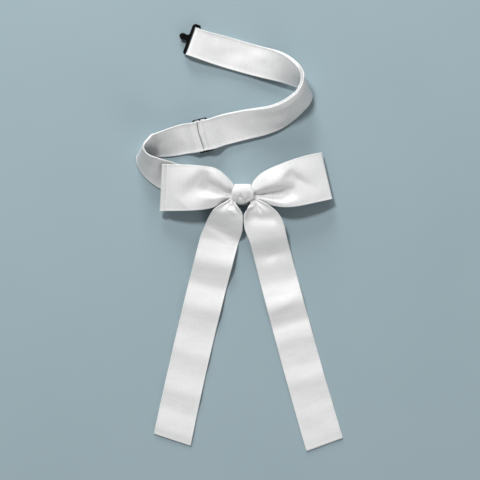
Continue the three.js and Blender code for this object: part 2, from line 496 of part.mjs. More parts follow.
function bow() {
  const across = Array.from({ length: BOW_ACROSS + 1 }, (_, j) => (2 * j) / BOW_ACROSS - 1);
  const line = (section, heightOf) => {
    const turn = radians(section.bearing);
    return across.map((v) => {
      const x = section.x + (v * section.width * Math.cos(turn)) / 2;
      const y = section.y + (v * section.width * Math.sin(turn)) / 2;
      return new THREE.Vector3(x, y, heightOf(section, v, x, y));
    });
  };
  const frontAt = ({ front, rise, crown, droop }, v, x, y) =>
    front + rise * v - crown * v * v - droop * Math.min(0, v) ** 2 - drop(BOW_FOLDS, x, y);
  const backAt = ({ back, rise }, v) => back + rise * v;
  const side = (table) => {
    const loop = curveThrough(table);
    const inKnot = loop.along[1];
    const part = (steps, heightOf) => [
      line(loop.at(inKnot / 2), heightOf),
      ...Array.from({ length: steps + 1 }, (_, i) =>
        line(loop.at(lerp(inKnot, loop.length, (i / steps) ** 1.25)), heightOf),
      ),
    ];
    // The pressed end is a half turn from the front layer to the back one.
    const last = table.at(-1);
    const beyond = Math.sign(last.x) * Math.sin(radians(last.bearing));
    const up = -Math.sign(last.x) * Math.cos(radians(last.bearing));
    const r = (last.front - last.back) / 2;
    const end = Array.from({ length: LOOP_STEPS.end - 1 }, (_, i) => {
      const angle = (Math.PI * (i + 1)) / LOOP_STEPS.end;
      const out = r * Math.sin(angle);
      const turned = { ...last, x: last.x + out * beyond, y: last.y + out * up };
      return line(turned, (section, v) => backAt(section, v) + r + r * Math.cos(angle));
    });
    return { front: part(LOOP_STEPS.front, frontAt), end, back: part(LOOP_STEPS.back, backAt) };
  };
  const [left, right] = [side(LEFT_LOOP), side(RIGHT_LOOP)];
  const middle = LEFT_LOOP[0];
  const rows = [
    line(middle, frontAt),
    ...left.front,
    ...left.end,
    ...left.back.reverse(),
    line(middle, backAt),
    ...right.back,
    ...right.end.reverse(),
    ...right.front.reverse(),
  ];
  return wallOf(rows, CLOTH, true);
}

// Knot. A short strip wrapped once round everything at the middle, narrow under the chin of the knot
// where the tails come out. The path is its middle in the plane of y and z.
const KNOT = { top: 7.8, bottom: -7.1, back: CLOTH / 2, brow: 14.9, under: 6 };
const KNOT_FRONT = { wide: 8.3, over: 6, chin: 3.7 }; // half widths at the middle, the top and the chin
const KNOT_ACROSS = 8;
const KNOT_CREASES = [
  [
    { x: -0.9, y: 2.2, depth: 0, left: 1.5, right: 1.5 },
    { x: -1.2, y: -0.8, depth: 0.7, left: 1.5, right: 1.5 },
    { x: -2.6, y: -4.6, depth: 0.8, left: 1.5, right: 1.5 },
    { x: -2.8, y: -7.6, depth: 0.4, left: 1.5, right: 1.5 },
  ],
  [
    { x: 2.6, y: 1.6, depth: 0, left: 1.5, right: 1.5 },
    { x: 2.4, y: -2.4, depth: 0.6, left: 1.5, right: 1.5 },
    { x: 0.8, y: -7.6, depth: 0.3, left: 1.5, right: 1.5 },
  ],
];

function knot() {
  const { top, bottom, back, brow, under } = KNOT;
  const { wide, over, chin } = KNOT_FRONT;
  const corners = [
    { s: bottom, h: back, r: 2.6 },
    { s: bottom, h: brow - 3.6, r: 4 },
    { s: top - 4.8, h: brow, r: 9 },
    { s: top, h: brow - 1.1, r: 2.6 },
    { s: top, h: back, r: 2.6 },
  ];
  const rows = roundedPath(corners, 1.9, true).map((p) => {
    const height = (p.y - back) / (brow - back);
    const down = smooth((-2.2 - p.x) / 5); // 1 at the chin and 0 from the middle up
    const up = smooth((p.x - 2.2) / 5); // 1 at the top and 0 from the middle down
    const front = lerp(lerp(wide, over, up), chin, down);
    const half = lerp(under, front, smooth(height / 0.5));
    const soft = smooth((height - 0.2) / 0.3); // the back lies flat
    return Array.from({ length: KNOT_ACROSS + 1 }, (_, j) => {
      const v = (2 * j) / KNOT_ACROSS - 1;
      const x = v * half - 0.4 - 0.9 * down * height;
      const crease = smooth((height - 0.55) / 0.3) * drop(KNOT_CREASES, x, p.x);
      const out = new THREE.Vector2(p.x - (top + bottom) / 2, p.y - (brow + back) / 2).normalize();
      const sink = soft * 0.9 * v * v + crease;
      return new THREE.Vector3(x, p.x - sink * out.x, p.y - sink * out.y);
    });
  });
  return wallOf(rows, CLOTH, true);
}

// Tails. Each row is a section from the knot down: the ends of the line across the ribbon at the outer
// edge and at the inner edge, the height of its middle, how far the inner edge is over the middle, and
// the depth of the gathers. From the last row to the cut end both edges run straight, but for a slight
// bow, and the lifts give the height of the ribbon's middle at a y.
const LEFT_TAIL = [
  { x: -3, y: 0.8, x2: -3, y2: -3, z: 10.4, lean: 0, gather: 0.2 },
  { x: -7.4, y: -0.9, x2: -5.4, y2: -4, z: 9.8, lean: 0, gather: 0.2 },
  { x: -9.8, y: -2.9, x2: -5.8, y2: -6.4, z: 9.7, lean: 0, gather: 0.3 },
  { x: -13.2, y: -5.4, x2: -4.5, y2: -8.5, z: 10.2, lean: 0, gather: 0.7 },
  { x: -17.7, y: -7.7, x2: -2.4, y2: -11.1, z: 10.5, lean: 0.1, gather: 0.6 },
  { x: -21.8, y: -10.6, x2: -0.5, y2: -14.2, z: 10.3, lean: 0.2, gather: 0.4 },
  { x: -25.6, y: -16.2, x2: -0.1, y2: -19.2, z: 8, lean: 1.7, gather: 0.2 },
  { x: -28.6, y: -22.8, x2: -0.3, y2: -25.8, z: 4.4, lean: 2.6, gather: 0.1 },
  { x: -32, y: -31, x2: -3.35, y2: -36, z: 1.3, lean: 0.5, gather: 0 },
];
const LEFT_TAIL_END = { x: -66.9, y: -179, x2: -39.2, y2: -188.2, bow: -0.85, bow2: -1.45 };
const LEFT_LIFTS = [
  { y: -42, z: 2.4 },
  { y: -51, z: 4.2 },
  { y: -60, z: 2.4 },
  { y: -68, z: 0.9 },
  { y: -76, z: 2 },
  { y: -84, z: 2.9 },
  { y: -94, z: 1.6 },
  { y: -105, z: 0.8 },
  { y: -112, z: 1.2 },
  { y: -119, z: 1.7 },
  { y: -127, z: 1.1 },
  { y: -134, z: 0.8 },
  { y: -141, z: 1.2 },
  { y: -148, z: 1.7 },
  { y: -155, z: 1.1 },
  { y: -162, z: 0.7 },
  { y: -170, z: 1.2 },
  { y: -177, z: 1.4 },
  { y: -183.6, z: 0.6 },
];
const RIGHT_TAIL = [
  { x: 3, y: 0.8, x2: 3, y2: -3, z: 10.4, lean: 0, gather: 0.2 },
  { x: 7.6, y: -0.9, x2: 5.6, y2: -4, z: 10, lean: 0, gather: 0.2 },
  { x: 10.2, y: -2.8, x2: 5.9, y2: -6.4, z: 9.9, lean: 0, gather: 0.3 },
  { x: 14, y: -4.9, x2: 4.6, y2: -8.5, z: 10.2, lean: 0, gather: 0.7 },
  { x: 18.9, y: -7.5, x2: 2.9, y2: -11.1, z: 10.5, lean: 0, gather: 0.6 },
  { x: 23.3, y: -10.5, x2: 1.2, y2: -14, z: 10.5, lean: 0, gather: 0.4 },
  { x: 27.5, y: -15.2, x2: 0.5, y2: -18.6, z: 10.1, lean: 0, gather: 0.2 },
  { x: 30.6, y: -21.5, x2: 1.1, y2: -24.8, z: 9.3, lean: 0, gather: 0.1 },
  { x: 32.6, y: -30.4, x2: 5.3, y2: -35.8, z: 7.6, lean: 0, gather: 0 },
];
const RIGHT_TAIL_END = { x: 75, y: -182.3, x2: 47.5, y2: -192.3, bow: -0.8, bow2: -0.8 };
const RIGHT_LIFTS = [
  { y: -39, z: 5.2 },
  { y: -45, z: 2.9 },
  { y: -54, z: 1.7 },
  { y: -64, z: 0.8 },
  { y: -73, z: 2.2 },
  { y: -82, z: 3.5 },
  { y: -89, z: 2.2 },
  { y: -96, z: 0.8 },
  { y: -102, z: 1.6 },
  { y: -107, z: 2 },
  { y: -116, z: 1.1 },
  { y: -126, z: 0.7 },
  { y: -132, z: 1.2 },
  { y: -138, z: 1.7 },
  { y: -147, z: 0.9 },
  { y: -156, z: 0.7 },
  { y: -163, z: 1 },
  { y: -172, z: 0.9 },
  { y: -180, z: 1 },
  { y: -187.3, z: 0.6 },
];
const TAIL_ACROSS = 9;
const TAIL_STEP = 5.4;

function tail(table, end, lifts) {
  const last = table.at(-1);
  const middleOf = ({ y, y2 }) => (y + y2) / 2;
  const straight = lifts.map((lift) => {
    const t = (lift.y - middleOf(last)) / (middleOf(end) - middleOf(last));
    const bow = 4 * t * (1 - t);
    const [x, x2] = [lerp(last.x, end.x, t) + bow * end.bow, lerp(last.x2, end.x2, t) + bow * end.bow2];
    return { x, y: lerp(last.y, end.y, t), x2, y2: lerp(last.y2, end.y2, t), z: lift.z, lean: 0, gather: 0 };
  });
  const ribbon = curveThrough([...table, ...straight]);
  const stations = [0];
  while (stations.at(-1) < ribbon.length) {
    const gathered = ribbon.at(stations.at(-1)).gather > 0.02;
    stations.push(Math.min(ribbon.length, stations.at(-1) + (gathered ? TAIL_STEP / 2 : TAIL_STEP)));
  }
  const rows = stations.map((d) => {
    const { x, y, x2, y2, z, lean, gather } = ribbon.at(d);
    return Array.from({ length: TAIL_ACROSS + 1 }, (_, j) => {
      const v = j / TAIL_ACROSS;
      const wave = gather * Math.cos(4 * Math.PI * v + 0.6);
      return new THREE.Vector3(lerp(x, x2, v), lerp(y, y2, v), z + lean * (2 * v - 1) + wave);
    });
  });
  return wallOf(rows, CLOTH);
}

const tie = new THREE.Group();
tie.add(node("bow_ribbon", bow(), satin));
tie.add(node("knot_wrap", knot(), satin));
tie.add(node("left_tail", tail(LEFT_TAIL, LEFT_TAIL_END, LEFT_LIFTS), satin));
tie.add(node("right_tail", tail(RIGHT_TAIL, RIGHT_TAIL_END, RIGHT_LIFTS), satin));
tie.add(node("neck_band", neckBand(), satin));
tie.add(onBand(node("adjuster_slide", slide(), blackMetal), SLIDE_AT, BAR_TOP));
tie.add(onBand(node("hook", await hook(), blackMetal), band.length, HEM_ROUND));
tie.add(onBand(node("eye_ring", eye(), blackMetal), -(EYE.length - BAR) / 2, HEM_ROUND));

export default tie;
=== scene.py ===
"""A pre-tied string bow tie of white satin, lying face up on a pale floor.

Tables are in millimetres and degrees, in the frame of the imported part: +Z up, +Y towards the top of
the neck band, +X to the right of the bow, and the origin on the floor under the middle of the knot.
"""

import bisect
import logging
import math
from collections.abc import Callable, Iterable, Sequence
from dataclasses import dataclass, field
from enum import Enum
from functools import cache
from typing import Any

import bmesh
import bpy
import numpy as np
from bpy.types import Material, NodeSocket, NodeTree, Object
from mathutils import Matrix, Vector, noise


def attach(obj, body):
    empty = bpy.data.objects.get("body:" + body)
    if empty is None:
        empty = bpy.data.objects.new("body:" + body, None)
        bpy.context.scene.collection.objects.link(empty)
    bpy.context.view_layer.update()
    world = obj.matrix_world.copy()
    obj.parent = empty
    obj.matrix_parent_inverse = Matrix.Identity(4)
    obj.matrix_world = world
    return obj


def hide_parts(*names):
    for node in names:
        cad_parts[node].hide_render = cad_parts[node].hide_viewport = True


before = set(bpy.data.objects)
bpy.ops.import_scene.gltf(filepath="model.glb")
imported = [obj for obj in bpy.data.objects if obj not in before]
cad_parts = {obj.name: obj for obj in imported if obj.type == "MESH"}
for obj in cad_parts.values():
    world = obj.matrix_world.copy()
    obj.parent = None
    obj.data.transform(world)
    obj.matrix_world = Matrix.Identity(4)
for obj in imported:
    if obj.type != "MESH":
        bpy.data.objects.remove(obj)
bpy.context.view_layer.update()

log = logging.getLogger("string_bow_tie")

MM = 0.001  # one millimetre, in Blender's metres
BODY = "root"
CLOTH_UV = "cloth"  # the cloth's own map: metres along the strip and across it


class Held(Enum):
    GATHERED = "gathered"
    FOLDED = "folded"
    LAID = "laid"


class Slot(Enum):
    """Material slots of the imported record."""

    SATIN = "white_satin"
    METAL = "black_metal"


# Shapes


Pair = tuple[float, float]
Rows = tuple[tuple[float, ...], ...]
Lines = list[list[Vector]]
Place = Callable[[int, int], Vector]


class Course:
    """A smooth course through a table's rows, whose columns include x and y.

    Columns other than x and y never overshoot between two rows. Past either end the course runs on
    straight.
    """

    def __init__(self, columns: tuple[str, ...], rows: Rows) -> None:
        """Measure the course.

        Args:
            columns: the names of the table's columns.
            rows: the rows that the course goes through.
        """
        self.columns = columns
        self.values = np.array(rows, dtype=float)
        place = [self.columns.index(name) for name in ("x", "y", "z") if name in self.columns]
        steps = np.linalg.norm(np.diff(self.values[:, place], axis=0), axis=1)
        self.along = [0.0, *np.cumsum(steps).tolist()]
        self.length = self.along[-1]
        slopes = np.diff(self.values, axis=0) / steps[:, None]
        before, after = slopes[:-1], slopes[1:]
        free = before + (after - before) * (steps[:-1] / (steps[:-1] + steps[1:]))[:, None]
        same_way = before * after > 0
        total = np.where(same_way, before + after, 1.0)
        gentle = np.where(same_way, 2 * (before * after) / total, 0.0)
        inner = np.where(np.isin(self.columns, ("x", "y")), free, gentle)
        self.tangents = np.vstack((slopes[:1], inner, slopes[-1:]))

    def at(self, distance: float) -> dict[str, float]:
        """Find every column at a distance along the course.

        Args:
            distance: millimetres from the first row.

        Returns:
            The value of each column there.
        """
        last = len(self.along) - 2
        i = min(max(bisect.bisect_right(self.along, distance) - 1, 0), last)
        step = self.along[i + 1] - self.along[i]
        t = (distance - self.along[i]) / step
        inside = min(max(t, 0.0), 1.0)
        t2, t3 = inside**2, inside**3
        start, end = self.values[i], self.values[i + 1]
        leave, arrive = self.tangents[i] * step, self.tangents[i + 1] * step
        found = (2 * t3 - 3 * t2 + 1) * start + (t3 - 2 * t2 + inside) * leave
        found = found + (3 * t2 - 2 * t3) * end + (t3 - t2) * arrive
        found = found + (t - inside) * (leave if t < 0 else arrive)
        return dict(zip(self.columns, found.tolist()))


@dataclass(frozen=True)
class Fold:
    """A valley in a layer of cloth, or a ridge where its depth is less than nothing.

    The columns are x, y, depth, and how far the fold reaches to the left and to the right of its
    line. A blunt fold has a round bottom, and a sharp one a crease.
    """

    rows: Rows
    blunt: float = 2.0

    def sampled(self, step: float = 0.8) -> np.ndarray:
        """Return the fold's rows at short steps along its smooth line."""
        course = Course(("x", "y", "depth", "left", "right"), self.rows)
        count = max(2, math.ceil(course.length / step))
        places = [course.at(course.length * k / count) for k in range(count + 1)]
        return np.array([list(place.values()) for place in places])


class Folds:
    """All the folds of one layer of cloth."""

    def __init__(self, folds: Iterable[Fold]) -> None:
        """Sample the folds once.

        Args:
            folds: the valleys and ridges.
        """
        self.lines = [(fold.sampled(), fold.blunt) for fold in folds]

    def drop(self, x: float, y: float) -> float:
        """Find how far the folds lower the cloth at a place.

        Args:
            x: millimetres to the right.
            y: millimetres up the picture.

        Returns:
            Millimetres down, or up where it is less than nothing.
        """
        total = 0.0
        for line, blunt in self.lines:
            start, step = line[:-1, :2], np.diff(line[:, :2], axis=0)
            to = np.array((x, y)) - start
            t = np.clip((to * step).sum(axis=1) / (step * step).sum(axis=1), 0.0, 1.0)
            gap = to - step * t[:, None]
            far = np.hypot(gap[:, 0], gap[:, 1])
            k = int(far.argmin())
            depth, left, right = line[k, 2:] + (line[k + 1, 2:] - line[k, 2:]) * t[k]
            on_left = step[k, 0] * to[k, 1] - step[k, 1] * to[k, 0] > 0
            total += depth * math.exp(-((far[k] / (left if on_left else right)) ** blunt))
        return total


def smooth(value: float) -> float:
    """Return 0 below 0 and 1 above 1, with a soft step between them."""
    t = min(max(value, 0.0), 1.0)
    return t * t * (3 - 2 * t)


def mixed(a: float, b: float, t: float) -> float:
    """Return the value a share t of the way from a to b."""
    return a + (b - a) * t


def unevenness(x: float, y: float, size: float, seed: float) -> float:
    """Return a soft wander between about -1 and 1 whose waves are size millimetres long."""
    return noise.noise(Vector((x / size, y / size, seed)))


def rounded_path(
    corners: Sequence[tuple[float, ...]], step: float, bend_step: float, closed: bool = False
) -> list[Vector]:
    """Join corners with straight stretches and round bends.

    Args:
        corners: the place of each corner in the plane, and the radius of the bend there. One
            with no radius is a plain point.
        step: millimetres between points on a straight stretch.
        bend_step: degrees between points in a bend.
        closed: whether the last corner joins the first.

    Returns:
        Points in the plane of the path.
    """
    points: list[Vector] = []
    joined = 1e-6  # two points nearer than this are one

    def put(point: Vector) -> None:
        """Add a point, after those that the straight stretch before it needs."""
        if points:
            gap = point - points[-1]
            extra = max(1, round(gap.length / step))
            start = points[-1].copy()
            points.extend(start + gap * (k / extra) for k in range(1, extra))
            if gap.length < joined:
                return
        points.append(point)

    count = len(corners)
    for i, corner in enumerate(corners):
        here = Vector(corner[:2])
        if len(corner) < 3:
            put(here)
            continue
        radius = corner[2]
        back = (Vector(corners[i - 1][:2]) - here).normalized()
        on = (Vector(corners[(i + 1) % count][:2]) - here).normalized()
        half = back.angle(on) / 2
        middle = here + (back + on).normalized() * (radius / math.sin(half))
        start = here + back * (radius / math.tan(half)) - middle
        end = here + on * (radius / math.tan(half)) - middle
        turn = math.atan2(start.x * end.y - start.y * end.x, start.dot(end))
        pieces = max(2, math.ceil(abs(turn) / math.radians(bend_step)))
        put(start + middle)
        for k in range(1, pieces + 1):
            points.append(middle + Matrix.Rotation(turn * k / pieces, 2) @ start)
    if closed and (points[0] - points[-1]).length < joined:
        points.pop()
    return points


def lanes(width: float, cell: float, rim: float = 0.8) -> list[float]:
    """Share a strip's width into lanes, with narrow ones along both edges.

    Args:
        width: millimetres across the strip.
        cell: millimetres across an ordinary lane.
        rim: millimetres across each narrow lane, of which either edge has two.

    Returns:
        Places across the strip, from 0 at one edge to 1 at the other.
    """
    edge = rim / width
    turn = edge * 0.35  # the outermost lane is split here, for the turn of the edge
    count = round(width * (1 - 4 * edge) / cell)
    inner = [mixed(2 * edge, 1 - 2 * edge, j / count) for j in range(count + 1)]
    return [0.0, turn, edge, *inner, 1 - edge, 1 - turn, 1.0]


def lengths(points: Sequence[Vector]) -> list[float]:
    """Return the distance along a line of points at each of them."""
    total = [0.0]
    for before, after in zip(points[:-1], points[1:]):
        total.append(total[-1] + (after - before).length)
    return total


# Making pieces


@dataclass(frozen=True)
class Strip:
    """A strip of cloth: its names, how it is held, and its sizes in millimetres."""

    name: str
    node: str
    held: Held
    width: float
    rests_on: tuple[str, ...] = ()
    ring: bool = False  # whether the last row joins the first
    thickness: float = 0.9
    edge: float = 1.2  # thickness of its turned edges
    edge_lanes: int = 3  # lanes along either side that are as thick as that
    edge_rows: int = 2  # and rows at either cut end

    def lay(self, along: Sequence[float], across: Sequence[float], place: Place) -> None:
        """Args:
            along: the flat distance of each row, and for a ring its whole length too.
            across: each lane's place across the strip, from 0 to 1.
            place: the middle of the cloth at a row and a lane, in millimetres.
        """
        cells = (len(along) - 1, len(across) - 1)
        shape = bmesh.new()
        bmesh.ops.create_grid(shape, x_segments=cells[0], y_segments=cells[1], size=1.0)
        weights = shape.verts.layers.deform.verify()
        flat = shape.loops.layers.uv.new(CLOTH_UV)
        where = {
            vert: (round((vert.co.x + 1) / 2 * cells[0]), round((vert.co.y + 1) / 2 * cells[1]))
            for vert in shape.verts
        }
        for face in shape.faces:
            face.smooth = True
            for loop in face.loops:
                i, j = where[loop.vert]
                loop[flat].uv = (along[i] * MM, across[j] * self.width * MM)
        for vert, (i, j) in where.items():
            vert.co = place(i % cells[0] if self.ring else i, j) * MM
            beside = min(j, cells[1] - j) < self.edge_lanes
            at_end = not self.ring and min(i, cells[0] - i) < self.edge_rows
            vert[weights][0] = 1.0 if beside or at_end else self.thickness / self.edge
        if self.ring:
            bmesh.ops.remove_doubles(shape, verts=shape.verts, dist=1e-7)
        piece = as_object(self.name, shape)
        edges = piece.vertex_groups.new(name="edges")
        thick = piece.modifiers.new("wall", "SOLIDIFY")
        thick.thickness = self.edge * MM
        thick.vertex_group = edges.name
        thick.offset = 0.0
        round_off = piece.modifiers.new("round", "SUBSURF")
        round_off.levels = round_off.render_levels = 1
        declare(piece, self.node, Slot.SATIN)


def as_object(name: str, shape: bmesh.types.BMesh) -> Object:
    """Turn a bmesh into an object of the scene and free it."""
    mesh = bpy.data.meshes.new(name)
    shape.to_mesh(mesh)
    shape.free()
    piece = bpy.data.objects.new(name, mesh)
    bpy.context.scene.collection.objects.link(piece)
    return piece


def declare(piece: Object, node: str, slot: Slot) -> None:
    """Dress a piece in its slot's finish and let it stand for its CAD node.

    Args:
        piece: the finished object.
        node: the CAD node that it replaces.
        slot: the record's material slot.
    """
    finish = PressedSatin() if slot is Slot.SATIN else BlackEnamel()
    piece.data.materials.append(finish.made())
    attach(piece, BODY)
    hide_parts(node)
    log.info("%s: %d faces before its modifiers", piece.name, len(piece.data.polygons))


# Finishes


def linear(colour: str) -> tuple[float, float, float, float]:
    """Turn an sRGB hex colour to the linear values that Blender's sockets take."""
    parts = [int(colour[k : k + 2], 16) / 255 for k in (1, 3, 5)]
    values = [c / 12.92 if c <= 0.04045 else ((c + 0.055) / 1.055) ** 2.4 for c in parts]
    return (*values, 1.0)


def add_node(
    tree: NodeTree, kind: str, values: dict[str | int, Any], out: int = 0
) -> NodeSocket | None:
    """Add a node with its values and the links into it.

    Args:
        tree: the material's nodes.
        kind: the node's type, without the ShaderNode that each starts with.
        values: a plain value or another node's output, by the name or number of a socket, or by
            the name of a property.
        out: the number of the output that is wanted.

    Returns:
        That output, or nothing where the node has none.
    """
    made = tree.nodes.new("ShaderNode" + kind)
    for key, value in values.items():
        if isinstance(value, NodeSocket):
            tree.links.new(value, made.inputs[key])
        elif isinstance(key, int) or key in made.inputs:
            made.inputs[key].default_value = value
        else:
            setattr(made, key, value)
    return made.outputs[out] if made.outputs else None


def blank_material(name: str) -> tuple[Material, NodeTree]:
    """Return a new material and its emptied node tree."""
    material = bpy.data.materials.new(name)
    material.use_nodes = True
    material.node_tree.nodes.clear()
    return material, material.node_tree


@dataclass(frozen=True)
class PressedSatin:
    """Polyester satin, woven with long floats along the strip and pressed over an interlining.

    The floats lie side by side, so the cloth has a broad soft gleam and very faint streaks along
    it. The streaks' sheen is painted into the colour as a lighter and a darker white; apart from
    that painted sheen its white is an even one, and its folds go to a plain grey.
    """

    name: str = "polyester_satin_pressed"
    # painted sheen: the lit and the shaded white of the weave's streaks and slubs
    sheen_lit: str = "#E9E9E9"
    sheen_shaded: str = "#E3E3E3"
    roughness: Pair = (0.4, 0.47)  # where the painted sheen is lit and where it is shaded
    # Satin threads are 0.1 mm apart, too fine to show: the streaks are drawn 1.1 mm wide and 14 mm
    # long, and the slubs of the weft 1.6 mm by 9 mm.
    streak: Pair = (14.0, 1.1)
    slub: Pair = (1.6, 9.0)
    streak_weight: float = 0.6  # beside the slubs' weight of 1
    spread: Pair = (0.55, 1.05)  # sums of both that take the painted shade and the painted sheen
    ripple: float = 13.0  # millimetres between the soft ripples that pressing leaves
    relief: float = 0.012  # height of the streaks and slubs
    ripple_relief: float = 0.2

    @cache
    def made(self) -> Material:
        """Build the material once and return it."""
        material, tree = blank_material(self.name)
        flat = add_node(tree, "UVMap", {"uv_map": CLOTH_UV})
        threads = {"noise_dimensions": "2D", "Scale": 1.0, "Detail": 2.0, "Roughness": 0.55}
        fields = []
        for long, wide in (self.streak, self.slub):
            scale = (1 / (long * MM), 1 / (wide * MM), 1.0)
            laid = add_node(tree, "Mapping", {"Scale": scale, "Vector": flat})
            fields.append(add_node(tree, "TexNoise", {**threads, "Vector": laid}))
        summed = {0: fields[0], 1: self.streak_weight, 2: fields[1]}
        weave = add_node(tree, "Math", {"operation": "MULTIPLY_ADD", **summed})
        low, high = self.spread
        # how far the streaks and slubs are lit in the painted sheen; the same share also sets the
        # roughness
        share = add_node(tree, "MapRange", {"From Min": low, "From Max": high, "Value": weave})
        tones = {0: share, 6: linear(self.sheen_shaded), 7: linear(self.sheen_lit)}
        colour = add_node(tree, "Mix", {"data_type": "RGBA", **tones}, 2)
        fine, coarse = self.roughness
        gloss = add_node(tree, "MapRange", {"To Min": coarse, "To Max": fine, "Value": share})
        waves = {"Scale": 1 / (self.ripple * MM), "Detail": 1.5, "Roughness": 0.5}
        place = add_node(tree, "TexCoord", {}, 3)
        ripples = add_node(tree, "TexNoise", {**waves, "Vector": place})
        bump = add_node(tree, "Bump", {"Distance": self.relief * MM, "Height": weave})
        soft = {"Distance": self.ripple_relief * MM, "Height": ripples, "Normal": bump}
        bump = add_node(tree, "Bump", soft)
        gleam = {"Specular IOR Level": 0.55, "Sheen Weight": 0.1, "Sheen Roughness": 0.4}
        dress = {"Base Color": colour, "Roughness": gloss, "Normal": bump}
        shader = add_node(tree, "BsdfPrincipled", {**gleam, **dress})
        add_node(tree, "OutputMaterial", {"Surface": shader})
        return material


@dataclass(frozen=True)
class BlackEnamel:
    """Steel with a baked black enamel: small hard glints and a faint orange peel."""

    name: str = "steel_black_enamel"
    face: str = "#030303"
    worn: str = "#08080A"
    worn_from: Pair = (0.5, 0.8)  # heights of the peel that are black and worn
    roughness: Pair = (0.28, 0.42)
    peel: float = 1.2  # orange peel is 0.5 mm, drawn 1.2 mm so that it shows
    relief: float = 0.03

    @cache
    def made(self) -> Material:
        """Build the material once and return it."""
        material, tree = blank_material(self.name)
        waves = {"Scale": 1 / (self.peel * MM), "Detail": 2.0}
        place = add_node(tree, "TexCoord", {}, 3)
        peel = add_node(tree, "TexNoise", {**waves, "Vector": place})
        low, high = self.worn_from
        rubbed = add_node(tree, "MapRange", {"From Min": low, "From Max": high, "Value": peel})
        tones = {0: rubbed, 6: linear(self.face), 7: linear(self.worn)}
        colour = add_node(tree, "Mix", {"data_type": "RGBA", **tones}, 2)
        low, high = self.roughness
        gloss = add_node(tree, "MapRange", {"To Min": low, "To Max": high, "Value": peel})
        bump = add_node(tree, "Bump", {"Distance": self.relief * MM, "Height": peel})
        dress = {"Base Color": colour, "Roughness": gloss, "Normal": bump}
        shader = add_node(tree, "BsdfPrincipled", {"Specular IOR Level": 0.2, **dress})
        add_node(tree, "OutputMaterial", {"Surface": shader})
        return material


@dataclass(frozen=True)
class MattPaper:
    """Sized matt paper of a studio floor: an even pale tone with no gleam."""

    name: str = "paper_floor_matt"
    tone: str = "#9EB0B7"
    cloud: str = "#97AAB1"
    clouds: float = 9.0  # faint darker patches to the metre

    @cache
    def made(self) -> Material:
        """Build the material once and return it."""
        material, tree = blank_material(self.name)
        place = add_node(tree, "TexCoord", {}, 3)
        clouds = {"Scale": self.clouds, "Detail": 2.0, "Vector": place}
        share = add_node(tree, "TexNoise", clouds)
        tones = {0: share, 6: linear(self.tone), 7: linear(self.cloud)}
        colour = add_node(tree, "Mix", {"data_type": "RGBA", **tones}, 2)
        dress = {"Roughness": 0.9, "Specular IOR Level": 0.2, "Base Color": colour}
        shader = add_node(tree, "BsdfPrincipled", dress)
        add_node(tree, "OutputMaterial", {"Surface": shader})
        return material


# The neck band


